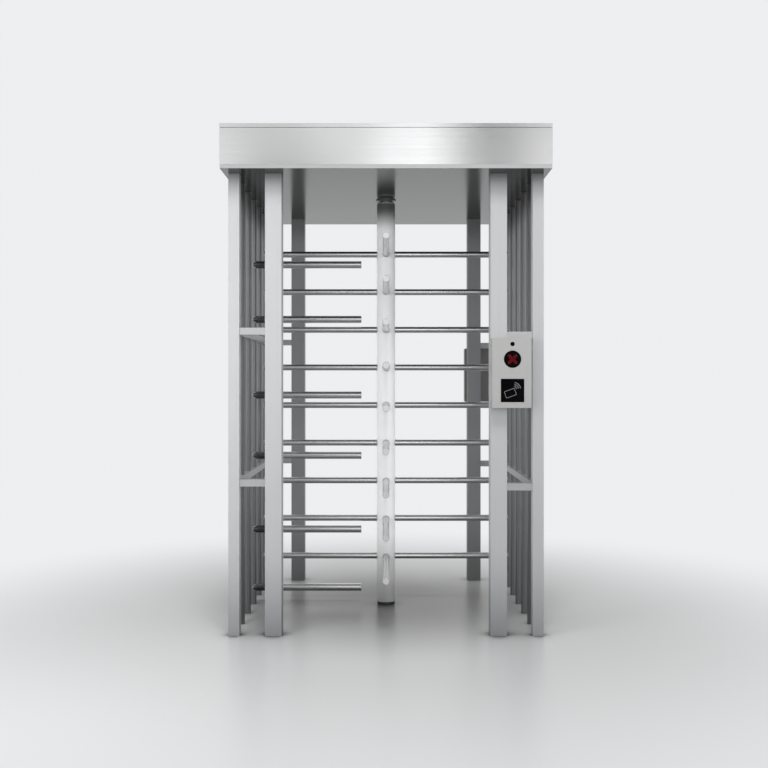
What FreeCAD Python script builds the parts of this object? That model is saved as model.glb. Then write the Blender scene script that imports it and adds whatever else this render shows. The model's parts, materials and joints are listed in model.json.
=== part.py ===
"""Full height turnstile, single lane: post frame, comb, four-wing rotor, canopy with its mechanism.

Millimetres, +Z up. The origin is on the floor under the rotor axis, and the front faces -Y.
"""
import FreeCAD, Part
import math
import os
import re
import Sketcher

doc = FreeCAD.newDocument("full_height_turnstile")

# Driving dimensions
SIZES = [
    ("total_height", 2300, "floor to the top of the lid"),
    ("canopy_height", 200, "lid top to the underside of the ceiling tray"),
    ("canopy_width", 1476, "canopy along X"),
    ("canopy_depth", 1464, "canopy along Y"),
    ("sheet", 2, "thickness of the canopy's sheet metal"),
    ("tray_rim", 18, "height of the ceiling tray's rim"),
    ("tray_inset", 1.5, "the tray stands this far inside the fascia"),
    ("fascia_flange", 27, "width of the fascia's folded top edge"),
    ("fascia_foot", 12, "width of the fascia's folded bottom edge"),
    ("lid_rim", 18, "height of the lid's rim"),
    ("lid_flange", 20, "width of the lid's folded edge"),
    ("lid_rib_width", 60, "width of a lid stiffening rib"),
    ("lid_rib_depth", 12, "depth of a lid stiffening rib"),
    ("lid_rib_place", 330, "rib centre from the lid's middle"),
    ("seal_width", 10, "lid seal width"),
    ("seal_height", 1.7, "lid seal height"),
    ("seal_inset", 4, "seal edge inside the lid's edge"),
    ("rest_gap", 0.3, "gap between a moving piece and its seat"),
    ("frame_depth", 1254, "front face of the front posts to rear face of the back posts"),
    ("inner_post", 75, "inner post, square tube"),
    ("inner_wall", 3, "wall of the inner post"),
    ("inner_spacing", 1024, "inner post centres along X"),
    ("outer_post", 50, "outer post, square tube"),
    ("outer_wall", 3, "wall of the outer post"),
    ("outer_spacing", 1382, "outer post centres along X"),
    ("post_head", 10, "head plate in the top of a post"),
    ("foot_height", 90, "height of a post foot"),
    ("foot_floor", 10, "floor plate of a post foot"),
    ("foot_wall", 4, "wall of a post foot"),
    ("foot_clearance", 0.3, "post foot to post, each side"),
    ("anchor_hole", 14, "anchor hole in a post foot"),
    ("side_bar", 32, "side bar diameter"),
    ("side_bar_wall", 1.5, "side bar wall"),
    ("side_bar_count", 5, "bars in each side panel"),
    ("rail_width", 40, "rail section, horizontal"),
    ("rail_height", 32, "rail section, vertical"),
    ("rail_wall", 2, "rail wall"),
    ("lower_rail", 695, "left lower rail centre above the floor"),
    ("upper_rail", 1385, "left upper rail centre above the floor"),
    ("right_rail_drop", 18, "right rails sit this much lower"),
    ("weld_gap", 0.1, "bar to its hole, each side"),
    ("column_diameter", 95, "rotor column"),
    ("column_wall", 4, "wall of the rotor column"),
    ("column_drop", 22, "column top below the ceiling"),
    ("column_cap", 10, "height of the cap on the column"),
    ("cap_chamfer", 6, "chamfer of the column cap"),
    ("arm_diameter", 32, "rotor arm"),
    ("arm_wall", 2, "wall of a rotor arm"),
    ("arm_rows", 9, "arms in one wing"),
    ("arm_pitch", 196, "height between arm rows"),
    ("lowest_arm", 250, "lowest arm row above the floor"),
    ("rotor_radius", 636, "axis to arm tip"),
    ("arm_inset", 18, "arm end inside the column's outer face"),
    ("tip_chamfer", 1.5, "chamfer of a bar's capped tip"),
    ("comb_diameter", 38, "comb bar"),
    ("comb_wall", 2, "wall of a comb bar"),
    ("comb_tip", 128, "axis to the tips of the comb bars"),
    ("comb_lowest", 165, "lowest comb bar below arm row 1"),
    ("comb_second", 58, "second comb bar below arm row 2"),
    ("comb_third", 66, "third comb bar below arm row 4"),
    ("comb_fourth", 52, "fourth comb bar above arm row 5"),
    ("comb_fifth", 54, "fifth comb bar above arm row 7"),
    ("comb_sixth", 53, "sixth comb bar below arm row 9"),
    ("pivot_diameter", 90, "floor pivot disc"),
    ("pivot_height", 14, "height of the floor pivot disc"),
    ("pivot_pin", 30, "floor pivot pin diameter"),
    ("pivot_pin_length", 38, "pin above the disc"),
    ("pivot_pin_chamfer", 2, "chamfer of the floor pivot's pin"),
    ("pivot_hole", 9, "anchor hole in the floor pivot"),
    ("pivot_hole_circle", 66, "pitch circle of the pivot's anchor holes"),
    ("running_gap", 0.05, "shaft to bore, each side"),
    ("bush_wall", 5, "wall of the foot bush"),
    ("bush_flange", 2, "flange thickness of the foot bush"),
    ("bush_flange_width", 6, "flange of the foot bush beyond its body"),
    ("foot_plug", 42, "length of the plug in the column's foot"),
    ("shaft_plug", 40, "length of the shaft's plug in the column"),
    ("shaft_diameter", 40, "drive shaft"),
    ("shaft_shoulder", 4, "shoulder under the bearing, each side"),
    ("shaft_above_gear", 14, "shaft above the main gear"),
    ("bearing_diameter", 80, "outer ring of the top bearing"),
    ("bearing_width", 18, "width of the top bearing"),
    ("bearing_ball", 12, "ball diameter"),
    ("bearing_balls", 9, "balls in the top bearing"),
    ("ring_wall", 6.5, "wall of each bearing ring"),
    ("race_gap", 0.1, "ball to race"),
    ("housing_wall", 10, "wall of the bearing housing"),
    ("housing_flange", 10, "flange thickness of the housing"),
    ("housing_flange_width", 22, "flange beyond the housing's boss"),
    ("housing_lip", 6, "lip under the bearing"),
    ("bearing_drop", 8, "bearing top below the mechanism plate's top"),
    ("collar_width", 20.5, "ceiling collar beyond the shaft hole"),
    ("collar_height", 5, "thickness of the ceiling collar"),
    ("shaft_hole_gap", 7, "shaft to the hole in the ceiling, each side"),
    ("beam_width", 50, "head beam, channel width"),
    ("beam_height", 50, "head beam, channel height"),
    ("beam_wall", 4, "head beam wall"),
    ("cross_beam_overhang", 4, "cross beam end beyond the outer post"),
    ("mechanism_beam", 150, "mechanism beam centre from the axis"),
    ("plate_length", 500, "mechanism plate along X"),
    ("plate_width", 420, "mechanism plate along Y"),
    ("plate_thickness", 10, "mechanism plate"),
    ("bolt", 12, "frame bolt"),
    ("bolt_head", 19, "frame bolt head across the flats"),
    ("bolt_head_height", 7.5, "height of a frame bolt head"),
    ("bolt_nut", 10, "height of a frame bolt nut"),
    ("bolt_hole_gap", 0.5, "frame bolt to its hole, each side"),
    ("disc_lift", 22, "lock disc above the mechanism plate"),
    ("disc_diameter", 210, "lock disc"),
    ("disc_thickness", 12, "lock disc"),
    ("hub_wall", 11, "hub around the drive shaft"),
    ("disc_hub", 8, "hub below the lock disc"),
    ("notch_width", 26, "notch in the lock disc"),
    ("notch_depth", 14, "notch in the lock disc"),
    ("gear_lift", 10, "main gear above the lock disc"),
    ("gear_width", 15, "face width of the gears"),
    ("gear_module", 3, "module of the gears"),
    ("gear_teeth", 64, "teeth of the main gear"),
    ("crank_teeth", 16, "teeth of the centring pinion"),
    ("damper_teeth", 20, "teeth of the damper pinion"),
    ("backlash", 0.3, "play between meshed teeth"),
    ("stud", 14, "centring crank stud"),
    ("stud_shoulder", 2, "shoulder of a stud, each side"),
    ("crank_disc", 60, "centring crank disc"),
    ("crank_disc_lift", 2, "crank disc above its pinion"),
    ("crank_disc_thickness", 8, "centring crank disc"),
    ("crank_throw", 20, "crank pin from the crank axis"),
    ("crank_pin", 10, "crank pin diameter"),
    ("crank_pin_length", 18, "crank pin above the crank disc"),
    ("spring_reach", 160, "spring post from the crank pin"),
    ("spring_coil", 16, "centring spring, over the wire"),
    ("spring_wire", 2.2, "centring spring wire"),
    ("spring_turns", 24, "turns of the centring spring"),
    ("eye_reach", 14, "spring eye centre to the first turn"),
    ("eye_wall", 3, "metal around a spring eye"),
    ("damper_body", 64, "rotary damper body"),
    ("damper_height", 20, "rotary damper body"),
    ("damper_shaft", 12, "rotary damper shaft"),
    ("damper_bore_depth", 16, "shaft inside the damper body"),
    ("pawl_line", 118, "centre line of an engaged pawl arm from the axis"),
    ("pawl_reach", 90, "pawl pivot to nose centre"),
    ("pawl_arm", 16, "width of a pawl arm"),
    ("pawl_nose", 18, "width of a pawl nose"),
    ("pawl_nose_ramp", 6, "ramp on one side of the nose"),
    ("pawl_nose_gap", 2.5, "nose tip to the notch bottom, engaged"),
    ("pawl_hub", 28, "pawl hub diameter"),
    ("pawl_pin", 12, "pawl pivot pin"),
    ("pawl_swing", 10, "pawl travel in degrees"),
    ("pawl_tail", 45, "pawl pivot to the plunger's line"),
    ("tail_pin", 6, "pin on the pawl tail"),
    ("link_thickness", 4, "link plate on a plunger"),
    ("link_width", 20, "link plate on a plunger"),
    ("plunger", 16, "solenoid plunger"),
    ("plunger_start", 16, "plunger rod from the tail pin"),
    ("plunger_inside", 28, "plunger inside its solenoid at rest"),
    ("solenoid_start", 40, "solenoid face from the tail pin"),
    ("solenoid_length", 52, "solenoid body"),
    ("solenoid_width", 40, "solenoid body"),
    ("solenoid_height", 48, "solenoid body"),
    ("control_box_length", 260, "control box along X"),
    ("control_box_width", 180, "control box along Y"),
    ("control_box_height", 70, "control box"),
    ("control_box_x", 380, "control box centre left of the axis"),
    ("control_box_y", 330, "control box centre behind the axis"),
    ("power_supply_length", 200, "power supply along X"),
    ("power_supply_width", 110, "power supply along Y"),
    ("power_supply_height", 50, "power supply"),
    ("hinge_ledge", 14, "ledge behind the lid for its hinges"),
    ("hinge_barrel", 10, "lid hinge barrel"),
    ("hinge_pin", 5, "lid hinge pin"),
    ("hinge_leaf", 2.4, "lid hinge leaf thickness"),
    ("hinge_length", 120, "one lid hinge along X"),
    ("hinge_spacing", 520, "lid hinge centres along X"),
    ("hinge_count", 3, "lid hinges"),
    ("lock_barrel", 20, "lid lock"),
    ("lock_head", 26, "lid lock head"),
    ("lock_head_height", 3, "lid lock head, sunk in the lid"),
    ("lock_from_front", 44, "lid lock axis from the canopy's front"),
    ("lock_cam_length", 36, "cam of the lid lock"),
    ("lock_cam_width", 14, "cam of the lid lock"),
    ("lock_cam_thickness", 3, "cam of the lid lock"),
    ("keyway_length", 8, "keyway of the lid lock"),
    ("keyway_width", 2, "keyway of the lid lock"),
    ("reader_width", 176, "reader case along X"),
    ("reader_height", 313, "reader case"),
    ("reader_depth", 62, "reader case with its cover"),
    ("reader_bottom", 1038, "reader case above the floor"),
    ("reader_shift", 0.5, "front reader case edge beyond the post's inner edge"),
    ("back_reader_shift", 11, "the back case sits this much nearer the lane"),
    ("reader_wall", 2, "wall of a reader case"),
    ("reader_corner", 5, "corner radius of a reader case"),
    ("cover_thickness", 4, "reader cover"),
    ("eye_column", 91, "indicator centre from the case edge at the lane"),
    ("sensor_drop", 27, "sensor centre below the cover's top"),
    ("sensor_diameter", 20, "round sensor window"),
    ("indicator_drop", 95, "indicator centre below the cover's top"),
    ("indicator_diameter", 78, "round indicator"),
    ("window_drop", 235, "reader window centre below the cover's top"),
    ("window_width", 105, "reader window"),
    ("window_height", 105, "reader window"),
    ("lens_proud", 0.6, "lenses and window beyond the cover"),
    ("lens_flange", 3, "lens flange behind the cover, each side"),
    ("lens_gap", 0.3, "lens to its hole, each side"),
    ("module_depth", 22, "reader unit behind the window"),
]

sheet = doc.addObject("Spreadsheet::Sheet", "Sizes")
for row, (alias, number, note) in enumerate(SIZES, start=1):
    sheet.set(f"A{row}", note)
    sheet.set(f"B{row}", str(number))
    sheet.setAlias(f"B{row}", alias)
doc.recompute()
ALIASES = {alias for alias, number, note in SIZES}


# Tools for binding and drawing
def sized(text):
    """The text of an expression, with each named size looked up in the sheet."""
    return re.sub(r"[a-z_]+", lambda word: "Sizes." + word[0] if word[0] in ALIASES else word[0], text)


def value(text):
    """The number that an expression gives now."""
    return float(sheet.evalExpression(sized(text)))


def bind(item, targets):
    for path, text in targets.items():
        item.setExpression(path, sized(text))


def origin_part(owner, role):
    return next(part for part in owner.Origin.OriginFeatures if part.Role == role)


def new_body(label, x="0", y="0", z="0", turn="0"):
    """A body placed at x, y, z and turned about Z."""
    owner = doc.addObject("PartDesign::Body", label)
    owner.Label = label
    about_z = FreeCAD.Rotation(FreeCAD.Vector(0, 0, 1), value(turn))
    owner.Placement = FreeCAD.Placement(FreeCAD.Vector(), about_z)
    bind(owner, {"Placement.Base.x": x, "Placement.Base.y": y, "Placement.Base.z": z})
    if turn != "0":
        bind(owner, {"Placement.Rotation.Angle": turn})
    return owner


def constrain(sketch, kind, first, second, text):
    """A named dimension from the sketch's origin to a point, or the radius of a circle."""
    if kind == "Radius":
        constraint = Sketcher.Constraint(kind, first, value(text))
    else:
        constraint = Sketcher.Constraint(kind, -1, 1, first, second, value(text))
    index = sketch.addConstraint(constraint)
    name = f"size_{index}"
    sketch.renameConstraint(index, name)
    sketch.setExpression(f"Constraints.{name}", sized(text))


def draw_outline(sketch, points):
    """A closed outline. A point (x, y) starts a line; (x, y, cx, cy) starts an arc round cx, cy."""
    edges = []
    for start, end in zip(points, points[1:] + points[:1]):
        tail = FreeCAD.Vector(value(start[0]), value(start[1]), 0)
        tip = FreeCAD.Vector(value(end[0]), value(end[1]), 0)
        if len(start) == 2:
            edges.append((sketch.addGeometry(Part.LineSegment(tail, tip)), 1, 2))
            continue
        centre = FreeCAD.Vector(value(start[2]), value(start[3]), 0)
        turning = (tail - centre).cross(tip - centre).z
        middle = centre + ((tail + tip) * 0.5 - centre).normalize() * (tail - centre).Length
        edge = sketch.addGeometry(Part.Arc(tail, middle, tip))
        edges.append((edge, 1, 2) if turning > 0 else (edge, 2, 1))
        constrain(sketch, "DistanceX", edge, 3, start[2])
    for (edge, first, last), (following, begin, end) in zip(edges, edges[1:] + edges[:1]):
        sketch.addConstraint(Sketcher.Constraint("Coincident", edge, last, following, begin))
    for (edge, first, last), point in zip(edges, points):
        constrain(sketch, "DistanceX", edge, first, point[0])
        constrain(sketch, "DistanceY", edge, first, point[1])


def draw_circle(sketch, x, y, radius):
    centre = FreeCAD.Vector(value(x), value(y), 0)
    circle = sketch.addGeometry(Part.Circle(centre, FreeCAD.Vector(0, 0, 1), value(radius)))
    constrain(sketch, "Radius", circle, None, radius)
    constrain(sketch, "DistanceX", circle, 3, x)
    constrain(sketch, "DistanceY", circle, 3, y)


def rectangle(x, y, width, height):
    """Corners of a rectangle round x, y."""
    left, right = f"({x}) - ({width}) / 2", f"({x}) + ({width}) / 2"
    low, high = f"({y}) - ({height}) / 2", f"({y}) + ({height}) / 2"
    return [(left, low), (right, low), (right, high), (left, high)]


def new_sketch(owner, plane, loops, lift="0"):
    """A sketch of loops: lists are outlines, (x, y, radius) tuples are circles."""
    sketch = owner.newObject("Sketcher::SketchObject", owner.Name + "_sketch")
    sketch.AttachmentSupport = (origin_part(owner, plane), [""])
    sketch.MapMode = "FlatFace"
    bind(sketch, {"AttachmentOffset.Base.z": lift})
    for loop in loops:
        if isinstance(loop, tuple):
            draw_circle(sketch, *loop)
        else:
            draw_outline(sketch, loop)
    return sketch


def pad(owner, plane, loops, length, lift="0", side="One side"):
    feature = owner.newObject("PartDesign::Pad", owner.Name + "_pad")
    feature.Profile = new_sketch(owner, plane, loops, lift)
    feature.SideType = side
    bind(feature, {"Length": length})
    doc.recompute()
    return feature


def cut(owner, plane, loops, length=None, lift="0", reverse=False):
    """A pocket: right through, or to a depth along the plane's normal."""
    before = owner.Shape.Volume
    feature = owner.newObject("PartDesign::Pocket", owner.Name + "_pocket")
    feature.Profile = new_sketch(owner, plane, loops, lift)
    if length is None:
        feature.Type = "ThroughAll"
        feature.SideType = "Symmetric"
    else:
        feature.Reversed = not reverse
        bind(feature, {"Length": length})
    doc.recompute()
    if owner.Shape.Volume >= before:
        raise ValueError(f"{feature.Name} cuts nothing")
    return feature


def revolve(owner, points, axis="V_Axis"):
    """Turns a half section: x is the radius and y the height, or the other way for H_Axis."""
    feature = owner.newObject("PartDesign::Revolution", owner.Name + "_turning")
    feature.Profile = new_sketch(owner, "XZ_Plane", [points])
    feature.ReferenceAxis = (feature.Profile[0], [axis])
    doc.recompute()
    return feature


def repeat(owner, features, axis, pitch, count):
    """Copies of features, spaced by pitch along an axis."""
    pattern = owner.newObject("PartDesign::LinearPattern", owner.Name + "_row")
    pattern.Originals = features
    pattern.Direction = (origin_part(owner, axis), [""])
    pattern.Mode = "Spacing"
    bind(pattern, {"Offset": pitch, "Occurrences": count})
    owner.Tip = pattern
    doc.recompute()
    return pattern


def repeat_around(owner, features, count):
    pattern = owner.newObject("PartDesign::PolarPattern", owner.Name + "_ring")
    pattern.Originals = features
    pattern.Axis = (origin_part(owner, "Z_Axis"), [""])
    bind(pattern, {"Occurrences": count})
    owner.Tip = pattern
    doc.recompute()
    return pattern


def solid(label, shape, x="0", y="0", z="0"):
    """A sub-part whose shape is worked out from the sheet, such as a gear."""
    item = doc.addObject("Part::Feature", label)
    item.Label = label
    item.Shape = shape
    bind(item, {"Placement.Base.x": x, "Placement.Base.y": y, "Placement.Base.z": z})
    return item


# Levels and places that several sub-parts share
CEILING = "(total_height - canopy_height)"
TRAY_TOP = f"({CEILING} + sheet)"
FASCIA_BOTTOM = f"({CEILING} + tray_rim)"
LID_BOTTOM = "(total_height - lid_rim)"
FASCIA_TOP = f"({LID_BOTTOM} - seal_height - rest_gap)"
BEAM_TOP = f"({TRAY_TOP} + beam_height)"
PLATE_TOP = f"({BEAM_TOP} + plate_thickness)"
DISC_BOTTOM = f"({PLATE_TOP} + disc_lift)"
DISC_TOP = f"({DISC_BOTTOM} + disc_thickness)"
GEAR_BOTTOM = f"({DISC_TOP} + gear_lift)"
GEAR_TOP = f"({GEAR_BOTTOM} + gear_width)"
BEARING_TOP = f"({PLATE_TOP} - bearing_drop)"
BEARING_BOTTOM = f"({BEARING_TOP} - bearing_width)"
INNER_X = "(inner_spacing / 2)"
INNER_Y = "((frame_depth - inner_post) / 2)"
OUTER_X = "(outer_spacing / 2)"
OUTER_Y = "((frame_depth - outer_post) / 2)"
BAR_PITCH = "(2 * " + OUTER_Y + " / (side_bar_count + 1))"
COLUMN_BOTTOM = "(pivot_height + rest_gap + bush_flange)"
COLUMN_TOP = f"({CEILING} - column_drop)"
COLUMN_BORE = "(column_diameter / 2 - column_wall)"
SHAFT = "(shaft_diameter / 2)"
CRANK_Y = "(-gear_module * (gear_teeth + crank_teeth) / 2)"
DAMPER_Y = "(gear_module * (gear_teeth + damper_teeth) / 2)"
BOLT_HOLE = "(bolt / 2 + bolt_hole_gap)"
PLATE_BOLT_Y = "(plate_width / 2 - bolt_head)"


# Posts and their feet
def make_post(owner, width, wall, bolt_offset):
    """A square tube with a head plate welded into its top, threaded for the bolt through the head beam."""
    bore = f"{width} - 2 * {wall}"
    pad(owner, "XY_Plane", [rectangle("0", "0", width, width), rectangle("0", "0", bore, bore)], CEILING)
    pad(owner, "XY_Plane", [rectangle("0", "0", bore, bore)], "post_head", f"{CEILING} - post_head")
    cut(owner, "XY_Plane", [("0", bolt_offset, "bolt / 2")])


def make_posts():
    for depth, y_sign in (("front", "-"), ("back", "")):
        for side, x_sign in (("left", "-"), ("right", "")):
            inner = new_body(f"inner_post_{depth}_{side}", x_sign + INNER_X, y_sign + INNER_Y)
            make_post(inner, "inner_post", "inner_wall", "0")
            outer = new_body(f"outer_post_{depth}_{side}", x_sign + OUTER_X, y_sign + OUTER_Y)
            make_post(outer, "outer_post", "outer_wall", f"{y_sign}1 * ({INNER_Y} - {OUTER_Y})")


def make_feet():
    """Cups bolted to the floor, which the posts slip over."""
    feet = new_body("post_feet")
    kinds = [("inner_post - 2 * inner_wall", INNER_X, INNER_Y),
             ("outer_post - 2 * outer_wall", OUTER_X, OUTER_Y)]
    places = [(width, a + x, b + y) for width, x, y in kinds for a in ("-", "") for b in ("-", "")]
    shells = [rectangle(x, y, f"{width} - 2 * foot_clearance", f"{width} - 2 * foot_clearance")
              for width, x, y in places]
    cavities = [rectangle(x, y, f"{width} - 2 * foot_clearance - 2 * foot_wall",
                          f"{width} - 2 * foot_clearance - 2 * foot_wall") for width, x, y in places]
    pad(feet, "XY_Plane", shells, "foot_height")
    cut(feet, "XY_Plane", cavities, "foot_height", "foot_floor")
    cut(feet, "XY_Plane", [(x, y, "anchor_hole / 2") for width, x, y in places])


# Side panels
def make_side_bars():
    for side, sign in (("left", "-"), ("right", "")):
        bars = new_body(f"side_bars_{side}", sign + OUTER_X, f"-(side_bar_count - 1) / 2 * {BAR_PITCH}")
        ring = [("0", "0", "side_bar / 2"), ("0", "0", "side_bar / 2 - side_bar_wall")]
        repeat(bars, [pad(bars, "XY_Plane", ring, CEILING)], "Y_Axis", BAR_PITCH, "side_bar_count")


def make_rails():
    """Two long rails with the side bars through them, and short rails across to the inner posts."""
    bore = ("rail_width - 2 * rail_wall", "rail_height - 2 * rail_wall")
    for side, sign, drop in (("left", "-", "0"), ("right", "", "right_rail_drop")):
        rails = new_body(f"rails_{side}")
        levels = [f"lower_rail - {drop}", f"upper_rail - {drop}"]
        sections = [rectangle(sign + OUTER_X, level, *section)
                    for level in levels for section in (("rail_width", "rail_height"), bore)]
        pad(rails, "XZ_Plane", sections, f"2 * {OUTER_Y} - outer_post", "0", "Symmetric")
        hole = (sign + OUTER_X, f"-(side_bar_count - 1) / 2 * {BAR_PITCH}", "side_bar / 2 + weld_gap")
        holes = cut(rails, "XY_Plane", [hole])
        repeat(rails, [holes], "Y_Axis", BAR_PITCH, "side_bar_count")
        inner_edge, outer_edge = f"({INNER_X} + inner_post / 2)", f"({OUTER_X} - outer_post / 2)"
        start = inner_edge if side == "right" else f"-{outer_edge}"
        for depth_sign in ("-", ""):
            sections = [rectangle(depth_sign + OUTER_Y, level, *section)
                        for level in levels for section in (("rail_width", "rail_height"), bore)]
            pad(rails, "YZ_Plane", sections, f"{outer_edge} - {inner_edge}", start)


# Comb
def capped_tube(owner, start, tip, radius, wall, height):
    """A tube along X at a height, open at its start and closed by a flat cap at its tip."""
    profile = [
        (start, f"{radius} - {wall}"),
        (start, radius),
        (f"{tip} - tip_chamfer", radius),
        (tip, f"{radius} - tip_chamfer"),
        (tip, "0"),
        (f"{tip} - {wall}", "0"),
        (f"{tip} - {wall}", f"{radius} - {wall}"),
    ]
    tube = revolve(owner, profile, "H_Axis")
    bind(tube.Profile[0], {"AttachmentOffset.Base.y": height})
    doc.recompute()
    return tube


COMB_LEVELS = [
    "lowest_arm - comb_lowest",
    "lowest_arm + arm_pitch - comb_second",
    "lowest_arm + 3 * arm_pitch - comb_third",
    "lowest_arm + 4 * arm_pitch + comb_fourth",
    "lowest_arm + 6 * arm_pitch + comb_fifth",
    "lowest_arm + 8 * arm_pitch - comb_sixth",
]


def make_comb():
    """Bars coped onto the middle left side bar, reaching towards the column between the arm rows."""
    comb = new_body("comb_bars", "-" + OUTER_X)
    for level in COMB_LEVELS:
        capped_tube(comb, "0", f"({OUTER_X} - comb_tip)", "(comb_diameter / 2)", "comb_wall", level)
    cut(comb, "XY_Plane", [("0", "0", "side_bar / 2 + weld_gap")])


# Rotor
def make_column():
    column = new_body("column", z=COLUMN_BOTTOM)
    ring = [("0", "0", "column_diameter / 2"), ("0", "0", COLUMN_BORE)]
    pad(column, "XY_Plane", ring, f"{COLUMN_TOP} - {COLUMN_BOTTOM}")
    for plane in ("XZ_Plane", "YZ_Plane"):
        hole = ("0", f"lowest_arm - {COLUMN_BOTTOM}", "arm_diameter / 2 + weld_gap")
        repeat(column, [cut(column, plane, [hole])], "Z_Axis", "arm_pitch", "arm_rows")


def make_wings():
    """Four wings of arms, each through the column's wall."""
    for name, turn in (("right", "0"), ("back", "90"), ("left", "180"), ("front", "270")):
        wing = new_body(f"wing_{name}_arms", turn=turn)
        arm = capped_tube(wing, "(column_diameter / 2 - arm_inset)", "rotor_radius", "(arm_diameter / 2)",
                          "arm_wall", "lowest_arm")
        repeat(wing, [arm], "Z_Axis", "arm_pitch", "arm_rows")


def make_floor_pivot():
    pivot = new_body("floor_pivot")
    revolve(pivot, [
        ("0", "0"),
        ("pivot_diameter / 2", "0"),
        ("pivot_diameter / 2", "pivot_height"),
        ("pivot_pin / 2", "pivot_height"),
        ("pivot_pin / 2", "pivot_height + pivot_pin_length - pivot_pin_chamfer"),
        ("pivot_pin / 2 - pivot_pin_chamfer", "pivot_height + pivot_pin_length"),
        ("0", "pivot_height + pivot_pin_length"),
    ])
    hole = cut(pivot, "XY_Plane", [("pivot_hole_circle / 2", "0", "pivot_hole / 2")])
    repeat_around(pivot, [hole], "4")


def make_column_foot():
    """The plug in the column's foot and the flanged bush that runs on the pivot pin."""
    bush_bore = "(pivot_pin / 2 + running_gap)"
    bush_outside = f"({bush_bore} + bush_wall)"
    bush = new_body("foot_bush", z="pivot_height + rest_gap")
    revolve(bush, [
        (bush_bore, "0"),
        (f"{bush_outside} + bush_flange_width", "0"),
        (f"{bush_outside} + bush_flange_width", "bush_flange"),
        (bush_outside, "bush_flange"),
        (bush_outside, "bush_flange + foot_plug"),
        (bush_bore, "bush_flange + foot_plug"),
    ])
    plug = new_body("column_foot_plug", z=COLUMN_BOTTOM)
    pad(plug, "XY_Plane", [("0", "0", f"{COLUMN_BORE} - weld_gap"), ("0", "0", bush_outside)], "foot_plug")


def make_drive_shaft():
    """The plug and cap on the column, and the shaft up through the bearing, disc and gear."""
    shaft = new_body("drive_shaft")
    plug = f"{COLUMN_BORE} - weld_gap"
    revolve(shaft, [
        ("0", f"{COLUMN_TOP} - shaft_plug"),
        (plug, f"{COLUMN_TOP} - shaft_plug"),
        (plug, COLUMN_TOP),
        ("column_diameter / 2", COLUMN_TOP),
        ("column_diameter / 2", f"{COLUMN_TOP} + column_cap - cap_chamfer"),
        ("column_diameter / 2 - cap_chamfer", f"{COLUMN_TOP} + column_cap"),
        (f"{SHAFT} + shaft_shoulder", f"{COLUMN_TOP} + column_cap"),
        (f"{SHAFT} + shaft_shoulder", BEARING_BOTTOM),
        (SHAFT, BEARING_BOTTOM),
        (SHAFT, f"{GEAR_TOP} + shaft_above_gear"),
        ("0", f"{GEAR_TOP} + shaft_above_gear"),
    ])


# Top bearing
BALL_CIRCLE = "((shaft_diameter + bearing_diameter) / 4)"


def race_groove():
    """The torus that both rings are cut by, at the bearing's mid height."""
    race = doc.addObject("Part::Torus", "race")
    bind(race, {"Radius1": BALL_CIRCLE, "Radius2": "bearing_ball / 2 + race_gap",
                "Placement.Base.z": f"{BEARING_BOTTOM} + bearing_width / 2"})
    return race


def make_bearing():
    race = race_groove()
    rings = (("bearing_inner_ring", SHAFT, f"{SHAFT} + ring_wall"),
             ("bearing_outer_ring", "bearing_diameter / 2 - ring_wall", "bearing_diameter / 2"))
    for label, inside, outside in rings:
        blank, bore = (doc.addObject("Part::Cylinder", f"{label}_{kind}") for kind in ("blank", "bore"))
        for cylinder, radius in ((blank, outside), (bore, inside)):
            bind(cylinder, {"Radius": radius, "Height": "bearing_width", "Placement.Base.z": BEARING_BOTTOM})
        tube, ring = (doc.addObject("Part::Cut", name) for name in (f"{label}_tube", label))
        tube.Base, tube.Tool = blank, bore
        ring.Base, ring.Tool = tube, race
        ring.Label = label
    balls = new_body("bearing_balls", z=f"{BEARING_BOTTOM} + bearing_width / 2")
    near, far = f"({BALL_CIRCLE} - bearing_ball / 2)", f"({BALL_CIRCLE} + bearing_ball / 2)"
    ball = revolve(balls, [
        (near, "0", BALL_CIRCLE, "0"),
        (BALL_CIRCLE, "bearing_ball / 2", BALL_CIRCLE, "0"),
        (far, "0"),
    ], "H_Axis")
    repeat_around(balls, [ball], "bearing_balls")


def make_housing():
    """The bearing's housing: a flange on the mechanism plate and a boss down through it."""
    housing = new_body("bearing_housing")
    boss = "(bearing_diameter / 2 + housing_wall)"
    flange = f"({boss} + housing_flange_width)"
    revolve(housing, [
        ("bearing_diameter / 2 - ring_wall", f"{BEARING_BOTTOM} - housing_lip"),
        (boss, f"{BEARING_BOTTOM} - housing_lip"),
        (boss, PLATE_TOP),
        (flange, PLATE_TOP),
        (flange, f"{PLATE_TOP} + housing_flange"),
        ("bearing_diameter / 2", f"{PLATE_TOP} + housing_flange"),
        ("bearing_diameter / 2", BEARING_BOTTOM),
        ("bearing_diameter / 2 - ring_wall", BEARING_BOTTOM),
    ])
    cut(housing, "XY_Plane", holes_at(HOUSING_BOLTS))


# Head frame
def channel(x, low, opening="up"):
    """Section of a head beam standing on a level, open upwards or downwards."""
    left, right = f"{x} - beam_width / 2", f"{x} + beam_width / 2"
    edge, web, wall = low, f"{low} + beam_wall", f"{low} + beam_height"
    if opening == "down":
        edge, web, wall = wall, f"{low} + beam_height - beam_wall", low
    return [(left, edge), (right, edge), (right, wall), (f"{right} - beam_wall", wall),
            (f"{right} - beam_wall", web), (f"{left} + beam_wall", web), (f"{left} + beam_wall", wall),
            (left, wall)]


POST_BOLTS = [(a + x, b + INNER_Y) for x in (INNER_X, OUTER_X) for a in ("-", "") for b in ("-", "")]
PLATE_BOLTS = [(a + "mechanism_beam", b + PLATE_BOLT_Y) for a in ("-", "") for b in ("-", "")]
HOUSING_BOLT = "((bearing_diameter / 2 + housing_wall + housing_flange_width / 2) * sqrt(0.5))"
HOUSING_BOLTS = [(a + HOUSING_BOLT, b + HOUSING_BOLT) for a in ("-", "") for b in ("-", "")]


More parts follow.
